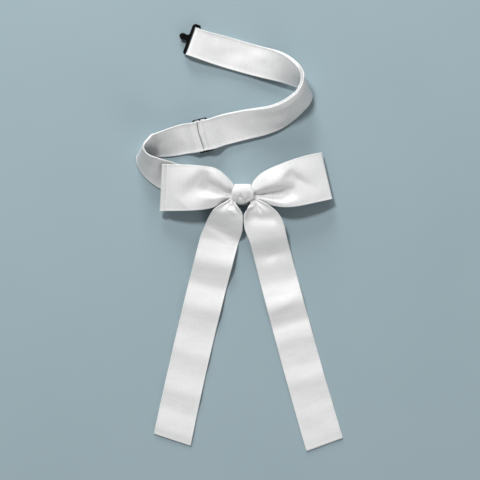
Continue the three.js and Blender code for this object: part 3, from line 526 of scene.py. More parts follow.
@dataclass
class NeckBand:
    """One narrow doubled strip, from the eye under the bow to the hook and back to the slide.

    The ground edge is the strip's lower edge in the picture. Its rows give that edge's place, the
    bearing of the line across the strip to the other edge, how far that line tilts up, the strip's
    width, how far its middle bulges over that line, and how far its other edge curls over. Heights
    over the strip are counted from its back face.
    """

    strip: Strip = Strip("satin_neck_band", "neck_band", Held.FOLDED, 23.0, edge=1.5)
    lane: float = 2.0
    cell: float = 1.35
    bend_step: float = 15.0  # degrees
    layer: float = 1.3  # from one layer of cloth to the next
    return_layer: float = 1.6  # from the strip to its own return
    clear: float = 0.8  # from a face of the metal to the middle of the cloth
    hem_bar: float = 1.2  # side of the square bar in a hem
    hem_end: float = 5.4  # how far the eye's hem is turned back
    slide_from: float = 11.7  # from the start of the lower run to the slide
    slide_plate: float = 0.9
    slide_bar: float = 1.3
    slide_slack: float = 0.15  # spare room under the slide
    slot: float = 3.7
    tight: float = 0.8  # radius of the strip's bends at the slots
    # The strip rises to the slide: how far from it the ramp starts and ends, and both radii.
    ramp: tuple[float, float, float, float] = (15.0, 7.0, 9.0, 2.5)
    # The return comes down behind the hook: how far from it, to how far, and the radius.
    hook_ramp: tuple[float, float, float] = (6.0, 16.0, 12.0)
    # The end comes down to the slide's bar in the same way, and is tucked under it this far.
    end_ramp: tuple[float, float, float] = (2.6, 0.8, 2.0)
    tuck: float = 1.5
    curl_from: float = 0.82  # share of the width where the curl starts
    roll: float = 1.1  # how much more the edge curls than its rows say
    wave: float = 0.9  # height of the soft waves that handling leaves
    wave_size: Pair = (15.0, 0.5)  # millimetres, and share of the width
    wave_seed: float = 2.7
    calm: Pair = (8.0, 12.0)  # no waves this near metal, then rising to full
    wander: float = 0.5  # how far the crossing at the slide wanders from a straight line
    wander_reach: float = 6.0  # how far along the strip it does so
    # Each wave of the wander: its share, its radians over the width, and its start.
    wander_waves: Rows = ((1, 7, 0.6), (0.4, 19, 0))
    columns: tuple[str, ...] = ("x", "y", "z", "bearing", "tilt", "width", "belly", "curl")
    under_bow: Rows = (
        (17, -4.9, 4, 90, 0, 10, 0, 0),
        (13.4, -4.9, 4, 90, 0, 10, 0, 0),
        (10.2, -4.9, 2.6, 90, 0, 10, 0, 0),
        (7.4, -4.9, 1.9, 90, 0, 10, 0, 0),
        (-7.4, -4.7, 1.9, 89, 0, 10, 0, 0),
        (-10.5, -4.7, 1.6, 86, 0, 12.6, 0, 0),
        (-16.5, -4.7, 0.9, 80, 0, 17.4, 0, 0),
        (-25.5, -4.5, 0.6, 77, 0, 22, 0, 0),
        (-44, -1.2, 0.6, 74, 4, 23, 0, 0),
    )
    left_turn: Rows = (
        (-60.3, 3.9, 0.6, 68, 16, 23, 0.4, 0),
        (-67.5, 8.3, 0.6, 65, 30, 23, 0.8, 0),
        (-73.1, 13.4, 0.6, 60, 43, 23, 1, 0.2),
        (-77.2, 19.2, 0.6, 57, 57, 23, 0.6, 0.4),
        (-79.5, 25, 0.6, 54, 65, 23, 0, 0.5),
        (-79.3, 29.2, 0.6, 58, 68, 23, 0, 0.5),
        (-77, 31.4, 0.6, 63, 67, 23, 0, 0.6),
        (-73, 31, 0.6, 76, 60, 23, -0.6, 0.8),
        (-68.6, 29.6, 0.6, 88, 50, 23, -1.2, 1),
        (-63.2, 28.7, 0.6, 97, 43, 23, -1.5, 1.1),
        (-55.5, 28.9, 0.6, 105, 33, 23, -1.2, 1),
        (-46.5, 30, 0.6, 106, 19, 23, -0.5, 0.5),
    )
    lower_run: Rows = (
        (-38.6, 31.7, 0.6, 104, 10.5, 23, 0, 0),
        (-23.6, 35.1, 0.6, 104, 9.8, 23, 0, 0),
        (-8.3, 39, 0.6, 104, 12, 23, -0.3, 0.2),
        (6.7, 42.8, 0.6, 108, 19, 23, -0.6, 0.8),
    )
    right_turn: Rows = (
        (18.5, 46.4, 0.6, 115, 29, 23, -0.4, 1.2),
        (28, 51, 0.6, 122, 41, 23, 0.4, 1.3),
        (36.7, 57.2, 0.6, 129, 51, 23, 0.8, 1.3),
        (44.2, 64.4, 0.7, 134, 58, 23, 0.9, 1.3),
        (49.1, 70.5, 1, 134, 61, 23, 0.8, 1.2),
        (50.2, 74.3, 1.2, 127, 61, 23, 0.7, 1.1),
        (48.6, 77.2, 1.8, 114, 60, 23, 0.6, 1),
        (45, 79.3, 3, 99, 56, 23, 0.5, 0.8),
        (39.9, 81, 4.8, 89, 47, 23, 0.3, 0.7),
        (30.6, 84, 5.2, 82, 33, 23, 0, 0.5),
        (22, 86, 4.3, 78, 20, 23, 0, 0.3),
        (12, 88.3, 3.2, 75, 8, 23, 0, 0),
    )
    upper_run: Rows = (
        (1.5, 91, 2.5, 74, 2, 23, 0, 0),
        (-15.8, 96, 2.7, 73, 0, 23, 0, 0),
        (-25.5, 99.1, 3.7, 72, 0, 22.6, 0, 0),
        (-34.6, 102.3, 4.8, 71, 0, 21.8, 0, 0),
        (-40.8, 104.5, 5, 70, 0, 21.6, 0, 0),
    )
    course: Course = field(init=False)
    slide_at: float = field(init=False)

    def __post_init__(self) -> None:
        """Lay out the course and find where the slide sits on it."""
        rows = self.under_bow + self.left_turn + self.lower_run + self.right_turn + self.upper_run
        self.course = Course(self.columns, rows)
        first = len(self.under_bow) + len(self.left_turn)
        self.slide_at = self.course.along[first] + self.slide_from

    @property
    def bar_top(self) -> float:
        """Height of the slide's middle plane over the strip."""
        return 2 * self.layer + self.slide_slack + self.slide_plate / 2

    @property
    def hem_round(self) -> float:
        """Radius of the fold round a hem's bar, at the middle of the cloth."""
        return self.clear + math.hypot(self.hem_bar, self.hem_bar) / 2

    def restless(self, distance: float) -> float:
        """Return the height of the waves, which die away where the metal holds the strip flat."""
        gap = min(distance, abs(distance - self.slide_at), self.course.length - distance)
        return self.wave * smooth((gap - self.calm[0]) / self.calm[1])

    def point(self, distance: float, v: float) -> Vector:
        """Find a place on the strip's middle surface.

        Args:
            distance: millimetres along the band.
            v: from 0 at the ground edge to 1 at the other edge.

        Returns:
            The place in millimetres.
        """
        at = self.course.at(distance)
        bearing, tilt = math.radians(at["bearing"]), math.radians(at["tilt"])
        curled = max(0.0, (v - self.curl_from) / (1 - self.curl_from)) ** 2
        proud = 4 * v * (1 - v) * at["belly"] - curled * at["curl"] * self.roll
        long, wide = self.wave_size
        waves = unevenness(distance, v / wide * long, long, self.wave_seed)
        proud += self.restless(distance) * waves * math.sin(math.pi * v)
        flat = v * at["width"] * math.cos(tilt) - proud * math.sin(tilt)
        rise = v * at["width"] * math.sin(tilt) + proud * math.cos(tilt)
        x, y = at["x"] + flat * math.cos(bearing), at["y"] + flat * math.sin(bearing)
        return Vector((x, y, at["z"] + rise))

    def across(self, distance: float, v: float) -> Vector:
        """Return the direction across the strip, away from the ground edge, but for its curl."""
        near = 0.05
        level = min(v, self.curl_from - near)
        over, under = self.point(distance, level + near), self.point(distance, level - near)
        return (over - under).normalized()

    def back(self, distance: float, v: float) -> Vector:
        """Return the direction out of the back face."""
        near = 0.5
        along = self.point(distance + near, v) - self.point(distance - near, v)
        return along.cross(self.across(distance, v)).normalized()

    def path(self) -> list[Vector]:
        """Return the strip's way, as distance along the band and height over it."""
        hook, at, hem = self.course.length, self.slide_at, self.hem_round
        round_bar = self.slide_plate / 2 + self.clear
        over = self.bar_top + self.slide_plate / 2 + self.clear
        under = self.bar_top - round_bar
        dive = self.slide_bar / 2 + round_bar + self.layer
        fold = at - self.slide_bar / 2 - round_bar
        foot, top, foot_round, top_round = self.ramp
        hook_top, hook_foot, hook_round = self.hook_ramp
        end_top, end_foot, end_round = self.end_ramp
        hung, low, high = 2 * hem, self.return_layer, over + self.layer
        corners = [(self.hem_end, hung), (-hem, hung, hem), (-hem, 0, hem)]
        for side in (-1, 1):
            crossing = [
                (at + side * foot, 0, foot_round),
                (at + side * top, over, top_round),
                (at + side * dive, over, self.tight),
                (at + side * dive, 0, self.tight),
            ]
            corners += crossing[::-side]
        corners += [
            (hook + hem, 0, hem),
            (hook + hem, hung, hem),
            (hook - hook_top, hung, hook_round),
            (hook - hook_foot, low, hook_round),
            (at + foot, low, foot_round),
            (at + top, high, top_round),
            (at + end_top, high, end_round),
            (at + end_foot, over, end_round),
            (fold, over, round_bar),
            (fold, under, round_bar),
            (at - self.slide_bar / 2 + self.tuck, under),
        ]
        return rounded_path(corners, self.cell, self.bend_step)

    def place(self, s: float, h: float, v: float) -> Vector:
        """Find a place on the strip's way.

        Args:
            s: millimetres along the band.
            h: millimetres over it, out of its back face.
            v: from 0 at the ground edge to 1 at the other edge.

        Returns:
            The place in millimetres.
        """
        near = math.exp(-(((s - self.slide_at) / self.wander_reach) ** 2))
        waves = (share * math.sin(rate * v + start) for share, rate, start in self.wander_waves)
        s += self.wander * near * sum(waves)
        return self.point(s, v) + self.back(s, v) * h

    def build(self) -> None:
        way = self.path()
        across = lanes(self.strip.width, self.lane)

        def place(i: int, j: int) -> Vector:
            """Find the strip's middle at a row and a lane."""
            return self.place(way[i].x, way[i].y, across[j])

        self.strip.lay(lengths(way), across, place)

    def mount(self, distance: float, height: float) -> Matrix:
        """Find how a hard piece sits on the band.

        Args:
            distance: millimetres along the band to the piece's middle.
            height: millimetres over the band, out of its back face.

        Returns:
            A matrix from the piece's own millimetres, with x along the band, y across it and z out
            of its back face, to metres.
        """
        half = 0.5
        across, back = self.across(distance, half), self.back(distance, half)
        turn = Matrix((across.cross(back), across, back)).transposed().to_4x4()
        middle = self.point(distance, half) + back * height
        return Matrix.Scale(MM, 4) @ Matrix.Translation(middle) @ turn


# The bow, its knot and the tails


@dataclass
class Bow:
    """One ring of wide ribbon, folded at both ends and gathered in the knot.

    Each row is a section from the knot outwards: the middle of the line across the ribbon, its
    bearing and width, the heights of the front and back layers, how far both rise to the upper
    edge, how far both edges of the front droop, and how far its lower edge droops more.
    """

    strip: Strip = Strip(
        "satin_bow_ribbon", "bow_ribbon", Held.GATHERED, 36.0, ("satin_neck_band",), ring=True
    )
    unrest: float = 0.3  # height of the soft waves that handling leaves
    unrest_size: float = 13.0
    unrest_seed: float = 5.3
    cells: int = 44  # lanes across the ribbon
    knot_steps: int = 5  # in the knot, in either layer
    front_steps: int = 62  # from the knot to the end, in the front layer
    back_steps: int = 44  # and in the back layer
    end_steps: int = 8  # round the pressed end
    crowding: float = 1.15  # over 1, the rows are closer together near the knot
    columns: tuple[str, ...] = (
        "x", "y", "bearing", "width", "front", "back", "rise", "crown", "droop",
    )
    left: Rows = (
        (0, 0.3, 90, 10.4, 9.2, 3.5, 0, 0.8, 1.2),
        (-6.6, 0.5, 90, 10.8, 9.2, 3.5, 0, 0.9, 1.5),
        (-8.2, 2.3, 90, 13.4, 9.5, 3.7, 0, 1.2, 2.4),
        (-10.4, 3.6, 90, 15.8, 10.6, 4, 0, 1.8, 2.8),
        (-14, 5, 90, 20.4, 12.4, 4.4, 0, 2.6, 2.8),
        (-18, 5.5, 90, 25.8, 14.2, 4.6, 0, 3, 2.6),
        (-23, 5.6, 90, 30.1, 15.4, 4.8, 0, 3, 2.4),
        (-29, 5.4, 90, 32.3, 16.1, 5, 0.1, 2.4, 1.8),
        (-36, 5.4, 90, 33.8, 15.6, 5.2, 0.4, 1.7, 1.2),
        (-44, 5.4, 89, 34.6, 14.3, 5.6, 1.1, 1.1, 0.6),
        (-52, 5.4, 89, 34.8, 12.7, 6.6, 2.2, 0.6, 0.2),
        (-56.7, 5.4, 87, 35, 11.3, 7.9, 3.1, 0.2, 0),
        (-60.1, 5.4, 87, 35.2, 10.9, 8.9, 3.6, 0, 0),
    )
    right: Rows = (
        (0, 0.3, 90, 10.4, 9.2, 3.5, 0, 0.8, 1.2),
        (5.8, 0.6, 90, 10.8, 9.2, 3.8, 0, 0.9, 1.5),
        (8.2, 2.9, 91, 14.8, 9.6, 4.2, 0, 1.2, 2.4),
        (10.6, 4.2, 92, 17.4, 10.8, 5.2, 0, 1.8, 2.6),
        (13.6, 5, 94, 20.8, 12.4, 5.5, 0, 2.6, 2.4),
        (20.1, 5.8, 95, 26.6, 14.8, 5.6, 0, 3, 2.4),
        (28.1, 6.7, 96, 31.6, 15.6, 5.3, 0, 2.6, 1.6),
        (38.4, 8.8, 98, 34.9, 14.4, 4.6, 0, 1.9, 0.8),
        (48.7, 11.4, 100, 36, 12, 4.4, 0, 1.2, 0.3),
        (56.6, 13.2, 102, 36.2, 9.2, 4.8, 0, 0.4, 0),
        (61.6, 14.2, 103, 35.9, 7.2, 5.2, 0, 0, 0),
    )
    folds: tuple[Fold, ...] = (
        Fold((
            (-33, 8.5, 0, 7, 5), (-30, 6.8, 2.2, 6.8, 5), (-26.2, 4.6, 4.7, 6.2, 4.4),
            (-20.2, 2.4, 5.7, 5.6, 3.4), (-13.5, 1.2, 4, 3.5, 1.8), (-8.8, 0.4, 2.8, 2.5, 1.5),
            (0, 0.3, 2.4, 2, 2), (9.8, -0.1, 2.6, 2.3, 1.4), (16.5, -0.3, 4.5, 4.1, 2),
            (27.8, -0.2, 5.6, 5.8, 4), (36.8, 1.5, 2.4, 6, 5), (42, 2.5, 0.6, 5.5, 5.5),
            (46.5, 3.5, 0, 5, 5),
        ), 2.4),
        Fold((
            (-29.5, 12.6, 0, 2.2, 4), (-25.7, 9.4, 1.7, 2, 4), (-19.1, 6.6, 2.5, 1.8, 4),
            (-13.5, 3, 2.1, 1.5, 3), (-8.8, 1, 1, 1, 2), (-6.5, 0.7, 0, 0.9, 1.8),
        ), 1.6),
        Fold((
            (7.5, 0.3, 0, 0.9, 1.8), (9.8, 0.7, 1, 1.1, 2), (16.5, 2, 2.3, 1.8, 3),
            (27.8, 4, 2.7, 2.6, 4), (34, 4.6, 1.8, 2.6, 4), (39.5, 4.8, 0, 2.4, 4),
        ), 1.6),
        Fold((
            (-27.5, 18.5, 0.5, 6, 4), (-29.5, 13, 3, 8, 5), (-33, 7.5, 3.9, 10, 6),
            (-37.5, 2.5, 3.1, 11, 7), (-42, -2.5, 1.2, 11, 8), (-45, -6, 0, 11, 8),
        ), 2),
        Fold((
            (32.5, 17.6, 0.2, 3.6, 9), (36.1, 14.5, 2.2, 3.8, 11), (40.9, 11.1, 2.9, 4, 12),
            (45.6, 8.3, 2, 4.2, 12), (51, 5.7, 0.9, 4.4, 12), (57, 3, 0, 4.4, 12),
        ), 2),
        Fold(((-56.6, 24, 1.4, 1.2, 1.2), (-57.9, -14, 1.4, 1.2, 1.2))),
    )
    creased: Folds = field(init=False)
    across: list[float] = field(init=False)

    def __post_init__(self) -> None:
        """Sample the folds and share the width into lanes."""
        self.creased = Folds(self.folds)
        self.across = lanes(self.strip.width, self.strip.width / self.cells)

    def front(self, row: dict[str, float], v: float, x: float, y: float) -> float:
        """Return the height of the front layer."""
        height = row["front"] + row["rise"] * v - row["crown"] * v * v
        height -= row["droop"] * min(0.0, v) ** 2
        waves = unevenness(x, y, self.unrest_size, self.unrest_seed)
        return height - self.creased.drop(x, y) + self.unrest * waves

    def back(self, row: dict[str, float], v: float, x: float, y: float) -> float:
        """Return the height of the back layer."""
        return row["back"] + row["rise"] * v

    def line(self, row: dict[str, float], height: Callable[..., float]) -> list[Vector]:
        """Lay a line of points across the ribbon.

        Args:
            row: the section.
            height: the layer's height for a section, a place across it, x and y.

        Returns:
            The points from the lower edge to the upper one.
        """
        turn = math.radians(row["bearing"])
        points = []
        for lane in self.across:
            v = 2 * lane - 1
            x = row["x"] + v * row["width"] * math.cos(turn) / 2
            y = row["y"] + v * row["width"] * math.sin(turn) / 2
            points.append(Vector((x, y, height(row, v, x, y))))
        return points

    def loop(self, table: Rows) -> tuple[Lines, Lines, Lines]:
        """Lay the lines of one loop.

        Args:
            table: its sections.

        Returns:
            The lines of the front layer and the pressed end, outwards and down, and of the back
            layer, from the knot outwards.
        """
        course = Course(self.columns, table)
        in_knot = course.along[1]

        def part(steps: int, height: Callable[..., float]) -> Lines:
            """Lay one layer from the knot outwards."""
            inside = [in_knot * k / self.knot_steps for k in range(1, self.knot_steps)]
            shares = [(i / steps) ** self.crowding for i in range(steps + 1)]
            outside = [mixed(in_knot, course.length, share) for share in shares]
            return [self.line(course.at(d), height) for d in inside + outside]

        last = dict(zip(self.columns, table[-1]))
        side = math.copysign(1, last["x"])
        turn = math.radians(last["bearing"])
        beyond, up = side * math.sin(turn), -side * math.cos(turn)
        radius = (last["front"] - last["back"]) / 2
        end = []
        for k in range(1, self.end_steps):
            angle = math.pi * k / self.end_steps
            out = radius * math.sin(angle)
            moved = {**last, "x": last["x"] + out * beyond, "y": last["y"] + out * up}
            lift = radius * (1 + math.cos(angle))
            end.append(
                self.line(moved, lambda row, v, x, y, lift=lift: self.back(row, v, x, y) + lift)
            )
        return part(self.front_steps, self.front), end, part(self.back_steps, self.back)

    def build(self) -> None:
        middle = dict(zip(self.columns, self.left[0]))
        left_front, left_end, left_back = self.loop(self.left)
        right_front, right_end, right_back = self.loop(self.right)
        rows = [
            self.line(middle, self.front),
            *left_front,
            *left_end,
            *reversed(left_back),
            self.line(middle, self.back),
            *right_back,
            *reversed(right_end),
            *reversed(right_front),
        ]
        centre = [row[len(row) // 2] for row in rows]
        along = lengths([*centre, centre[0]])
        self.strip.lay(along, self.across, lambda i, j: rows[i][j])


@dataclass
class Knot:
    """A short strip wrapped once round the middle of the bow, narrow under its chin."""

    strip: Strip = Strip(
        "satin_knot_wrap", "knot_wrap", Held.GATHERED, 16.6, ("satin_bow_ribbon",), ring=True
    )
    top: float = 7.8
    bottom: float = -7.1
    back: float = 0.5
    brow: float = 14.9  # height of the front's highest line
    # The front's bends from the chin up: y, how far below the brow, and radius.
    front: Rows = ((bottom, 4.9, 3.5), (bottom + 4.7, 1.1, 6), (top - 4.8, 0, 9), (top, 1.1, 2.6))
    back_bend: float = 2.6
    over: float = 6.0  # half of the width at the top of the front
    chin: float = 3.7  # at its chin
    under: float = 6.0  # and at the back
    off: float = 0.4  # how far left the front's middle is
    chin_off: float = 0.9  # and how much further the chin is
    taper: Pair = (2.2, 5.0)  # the y past which the front narrows, and over how much
    bulge: float = 0.9  # how far the side edges are sunk below the middle
    # Shares of the height at which the width, the bulge and the creases start, and their spans.
    widens: float = 0.5
    bulges: Pair = (0.2, 0.3)
    creases_from: Pair = (0.55, 0.3)
    cell: float = 0.5
    rim: float = 0.4
    bend_step: float = 6.0  # degrees
    creases: tuple[Fold, ...] = (
        Fold((
            (-1.5, 1.6, 0, 0.8, 0.8), (-2.3, -1, 1.1, 0.8, 0.8), (-3.2, -3.6, 0.7, 0.9, 0.9),
            (-3.4, -7, 0.5, 1, 1),
        )),
        Fold(((-1.8, -1.2, 0, 0.8, 0.8), (-0.3, -3.8, 0.9, 0.8, 0.9), (-0.4, -7, 0.6, 0.9, 0.9))),
        Fold(((-4.6, -2, 0, 1.6, 1.2), (-1.9, -2.3, 1.1, 1.6, 1), (0.8, -3, 0, 1.6, 1.2))),
        Fold(((0.6, -4.4, 0, 1.6, 1.2), (3.4, -3.4, 0.8, 1.8, 1.1), (6.8, -1.6, 0.2, 1.6, 1.2))),
        Fold(((2.4, 2.6, 0, 1.4, 1.4), (3.9, -1, 0.6, 1.3, 1.3), (2.6, -5.5, 0.6, 1.2, 1.2))),
        Fold(((-6.2, 0.8, 0, 1.2, 1.2), (-5.8, -2.2, 0.5, 1.2, 1.2), (-4.6, -5.6, 0.3, 1.2, 1.2))),
    )

    def build(self) -> None:
        folds = Folds(self.creases)
        across = lanes(self.strip.width, self.cell, self.rim)
        corners = [(y, self.brow - down, radius) for y, down, radius in self.front]
        corners.insert(0, (self.bottom, self.back, self.back_bend))
        corners.append((self.top, self.back, self.back_bend))
        way = rounded_path(corners, self.cell, self.bend_step, closed=True)
        centre = Vector(((self.top + self.bottom) / 2, (self.brow + self.back) / 2))
        start, span = self.taper

        def place(i: int, j: int) -> Vector:
            """Find the strip's middle at a row and a lane."""
            y, z = way[i]
            height = (z - self.back) / (self.brow - self.back)
            bulged = smooth((height - self.bulges[0]) / self.bulges[1])
            creased = smooth((height - self.creases_from[0]) / self.creases_from[1])
            down, up = smooth((-start - y) / span), smooth((y - start) / span)
            front = mixed(mixed(self.strip.width / 2, self.over, up), self.chin, down)
            half = mixed(self.under, front, smooth(height / self.widens))
            v = 2 * across[j] - 1
            x = v * half - self.off - self.chin_off * down * height
            sink = bulged * self.bulge * v * v + creased * folds.drop(x, y)
            out = (Vector((y, z)) - centre).normalized()
            return Vector((x, y - sink * out.x, z - sink * out.y))

        self.strip.lay(lengths([*way, way[0]]), across, place)


@dataclass
class Tail:
    """A ribbon that comes out under the knot and ends in a straight cut.

    Each row is a section: the ends of the line across the ribbon at the outer and inner edges, the
    height of its middle, how far the inner edge is over the middle, and the depth of the gathers.
    From the last row to the cut end both edges run straight, but for a slight bow, and the lifts
    give the height of the ribbon's middle at a y.
    """

    node: str
    rows: Rows
    end: tuple[float, float, float, float]
    bow: Pair
    lifts: Rows
    folds: tuple[Fold, ...]
    width: float = 29.0
    unrest: float = 0.35  # height of the soft waves that handling leaves
    unrest_size: float = 17.0
    unrest_seed: float = 8.1
    cell: float = 1.3
    fine: float = 0.4  # share of a cell between the rows along the gathers
    lane: float = 0.72
    gathers: float = 2.0  # waves across the ribbon
    gathers_start: float = 0.6  # radians
    slight: float = 0.02  # gathers less deep than this get no finer rows
    lowest: float = 0.5  # height of the cloth's middle where it lies on the floor
    columns: tuple[str, ...] = ("x", "y", "x2", "y2", "z", "lean", "gather")

    def build(self) -> None:
        last = self.rows[-1]
        top, bottom = (last[1] + last[3]) / 2, (self.end[1] + self.end[3]) / 2
        straight = []
        for y, z in self.lifts:
            share = (y - top) / (bottom - top)
            ends = [mixed(a, b, share) for a, b in zip(last[:4], self.end)]
            ends[0] += 4 * share * (1 - share) * self.bow[0]
            ends[2] += 4 * share * (1 - share) * self.bow[1]
            straight.append((*ends, z, 0.0, 0.0))
        course = Course(self.columns, (*self.rows, *straight))
        creased = Folds(self.folds)
        across = lanes(self.width, self.lane)
        stations = [0.0]
        while stations[-1] < course.length:
            gathered = course.at(stations[-1])["gather"] > self.slight
            step = self.cell * (self.fine if gathered else 1.0)
            stations.append(min(course.length, stations[-1] + step))
        sections = [course.at(d) for d in stations]

        def place(i: int, j: int) -> Vector:
            """Find the ribbon's middle at a row and a lane."""
            row, v = sections[i], across[j]
            x, y = mixed(row["x"], row["x2"], v), mixed(row["y"], row["y2"], v)
            turn = 2 * math.pi * self.gathers * v + self.gathers_start
            z = row["z"] + row["lean"] * (2 * v - 1) + row["gather"] * math.cos(turn)
            z -= creased.drop(x, y)
            z += self.unrest * unevenness(x, y, self.unrest_size, self.unrest_seed)
            return Vector((x, y, max(z, self.lowest)))

        held, below = Held.LAID, ("satin_bow_ribbon",)
        strip = Strip(f"satin_{self.node}", self.node, held, self.width, below)
        strip.lay(stations, across, place)


TAILS = (
    Tail(
        node="left_tail",
        rows=(
            (-3, 0.8, -3, -3, 10.4, 0, 0.2),
            (-7.4, -0.9, -5.4, -4, 9.8, 0, 0.2),
            (-9.8, -2.9, -5.8, -6.4, 9.7, 0, 0.3),
            (-13.2, -5.4, -4.5, -8.5, 10.2, 0, 0.7),
            (-17.7, -7.7, -2.4, -11.1, 10.5, 0.1, 0.6),
            (-21.8, -10.6, -0.5, -14.2, 10.3, 0.2, 0.4),
            (-25.6, -16.2, -0.1, -19.2, 8, 1.7, 0.2),
            (-28.6, -22.8, -0.3, -25.8, 4.4, 2.6, 0.1),
            (-32, -31, -3.35, -36, 1.3, 0.5, 0),
        ),
        end=(-66.9, -179, -39.2, -188.2),
        bow=(-0.85, -1.45),
        folds=(
            Fold(((-9.4, -5, 0.6, 1, 1), (-9.8, -8, 2, 1.1, 1.1), (-9, -10.8, 0, 1.4, 1.4))),
            Fold((
                (-7.2, -4.6, -0.3, 1.2, 1), (-4.9, -8, -1.3, 1.3, 1.1), (-1.6, -13.4, -0.5, 1.4, 1),
            )),
            Fold(((-10.4, -9.6, 0, 2, 2), (-8, -12.4, -1.1, 2.2, 1.6), (-5, -15.5, 0, 2, 2))),
            Fold((
                (-26.5, -22, 0.6, 6, 2.6), (-19, -26.3, 2, 6.5, 2.6), (-11, -30.8, 2.4, 6.5, 2.6),
                (-3.8, -35.3, 1.8, 6.5, 2.6),
            )),
        ),
        lifts=(
            (-41, 2.9), (-50, 4.6), (-60, 2.4), (-68, 0.9), (-76, 2), (-84, 2.9),
            (-94, 1.6), (-105, 0.8), (-112, 1.2), (-119, 1.7), (-127, 1.1), (-134, 0.8),
            (-141, 1.2), (-148, 1.7), (-155, 1.1), (-162, 0.7), (-170, 1.2), (-177, 1.4),
            (-183.6, 0.6),
        ),
    ),
    Tail(
        node="right_tail",
        rows=(
            (3, 0.8, 3, -3, 10.4, 0, 0.2),
            (7.6, -0.9, 5.6, -4, 10, 0, 0.2),
            (10.2, -2.8, 5.9, -6.4, 9.9, 0, 0.3),
            (14, -4.9, 4.6, -8.5, 10.2, 0, 0.7),
            (18.9, -7.5, 2.9, -11.1, 10.5, 0, 0.6),
            (23.3, -10.5, 1.2, -14, 10.5, 0, 0.4),
            (27.5, -15.2, 0.5, -18.6, 10.1, 0, 0.2),
            (30.6, -21.5, 1.1, -24.8, 9.3, 0, 0.1),
            (32.6, -30.4, 5.3, -35.8, 7.6, 0, 0),
        ),
        end=(75, -182.3, 47.5, -192.3),
        bow=(-0.8, -0.8),
        folds=(
            Fold((
                (6.4, -3.6, -0.4, 1, 1), (8, -6.6, -1.5, 1.1, 1.1), (7, -8.7, -1.6, 1.2, 1.1),
                (4.3, -9.5, -1.5, 1.2, 1.1), (2.4, -12, -1.2, 1.2, 1), (1.4, -17, -0.3, 1.2, 1),
            )),
            Fold((
                (1.5, -15.6, 0, 3, 5), (5.5, -16.6, 2, 3.6, 5), (11, -16.8, 1.6, 3.6, 5),
                (16, -17.2, 2, 4.2, 5), (21, -17.4, 2, 4.4, 5), (27, -16, 0, 4, 5),
            )),
            Fold(((9.2, -4.6, 0.4, 1, 0.9), (11.6, -9.4, 1.9, 1.3, 1), (13.8, -14.4, 0, 1.8, 1.4))),
            Fold((
                (21, -88.5, -0.3, 7, 3.5), (30.8, -83.3, -0.7, 7, 3), (39.8, -76.5, -0.4, 7, 3.5),
            )),
            Fold(((9, -45, 1, 6, 5), (18.8, -44.5, 2.5, 6.5, 5), (29, -42, 1, 6, 5))),
        ),
        lifts=(
            (-39, 5.2), (-45, 2.9), (-54, 1.7), (-64, 0.8), (-73, 2.2), (-82, 3.5),
            (-89, 2.2), (-96, 0.8), (-102, 1.6), (-107, 2), (-116, 1.1), (-126, 0.7),
            (-132, 1.2), (-138, 1.7), (-147, 0.9), (-156, 0.7), (-163, 1), (-172, 0.9),
            (-180, 1), (-187.3, 0.6),
        ),
    ),
)


# The hardware

UNBROKEN = 50.0  # longer than any straight edge of the metal, so that none gets points
CORNER_STEP = 15.0  # degrees between points round a plate's corner


def rounded_rectangle(x: float, y: float, long: float, wide: float, r: float) -> list[Vector]:
    """Return the outline of a rounded rectangle about a middle."""
    a, b = long / 2, wide / 2
    corners = [(x + p * a, y + q * b, r) for p, q in ((-1, -1), (1, -1), (1, 1), (-1, 1))]
    return rounded_path(corners, UNBROKEN, CORNER_STEP, closed=True)


def stamped(
    outline: Sequence[Vector], holes: Iterable[Sequence[Vector]], thickness: float, edge: float
) -> bmesh.types.BMesh:
    """Stamp a plate with rounded edges from its outline.

    Args:
        outline: the points of its outer edge.
        holes: the points of each hole.
        thickness: millimetres through the plate.
        edge: radius of its edges.

    Returns:
        The plate about the plane z = 0, in millimetres.
    """
    flat = bpy.data.curves.new("blank", "CURVE")
    flat.dimensions = "2D"
    flat.fill_mode = "BOTH"
    flat.extrude = thickness / 2 - edge
    flat.bevel_depth = edge
    flat.bevel_resolution = 2
    flat.offset = -edge
    for loop in (outline, *holes):
        line = flat.splines.new("POLY")
        line.points.add(len(loop) - 1)
        for point, (x, y) in zip(line.points, loop):
            point.co = (x, y, 0, 1)
        line.use_cyclic_u = True
    blank = bpy.data.objects.new("blank", flat)
    mesh = bpy.data.meshes.new_from_object(blank)
    plate = bmesh.new()
    plate.from_mesh(mesh)
    bmesh.ops.remove_doubles(plate, verts=plate.verts, dist=1e-4)
    bmesh.ops.recalc_face_normals(plate, faces=plate.faces)
    bpy.data.objects.remove(blank)
    bpy.data.curves.remove(flat)
    bpy.data.meshes.remove(mesh)
    return plate


@dataclass
class Slide:
    """A three-bar slide: two slots for the strip, and between them the bar that holds its end."""

    outer_bar: float = 1.2
    rail: float = 0.9  # at the ends of the slots
    inside: float = 23.9  # length of the slots
    corner: float = 1.1
    slot_corner: float = 0.4
    edge: float = 0.3

    def build(self, band: NeckBand) -> None:
        """Args:
            band: the strip that it sits on.
        """
        length = 2 * self.outer_bar + 2 * band.slot + band.slide_bar
        outline = rounded_rectangle(0, 0, length, self.inside + 2 * self.rail, self.corner)
        slot = (0, band.slot, self.inside, self.slot_corner)
        off = (band.slide_bar + band.slot) / 2
        holes = [rounded_rectangle(side * off, *slot) for side in (-1, 1)]
        plate = stamped(outline, holes, band.slide_plate, self.edge)
        plate.transform(band.mount(band.slide_at, band.bar_top))
        declare(as_object("metal_slide", plate), "adjuster_slide", Slot.METAL)


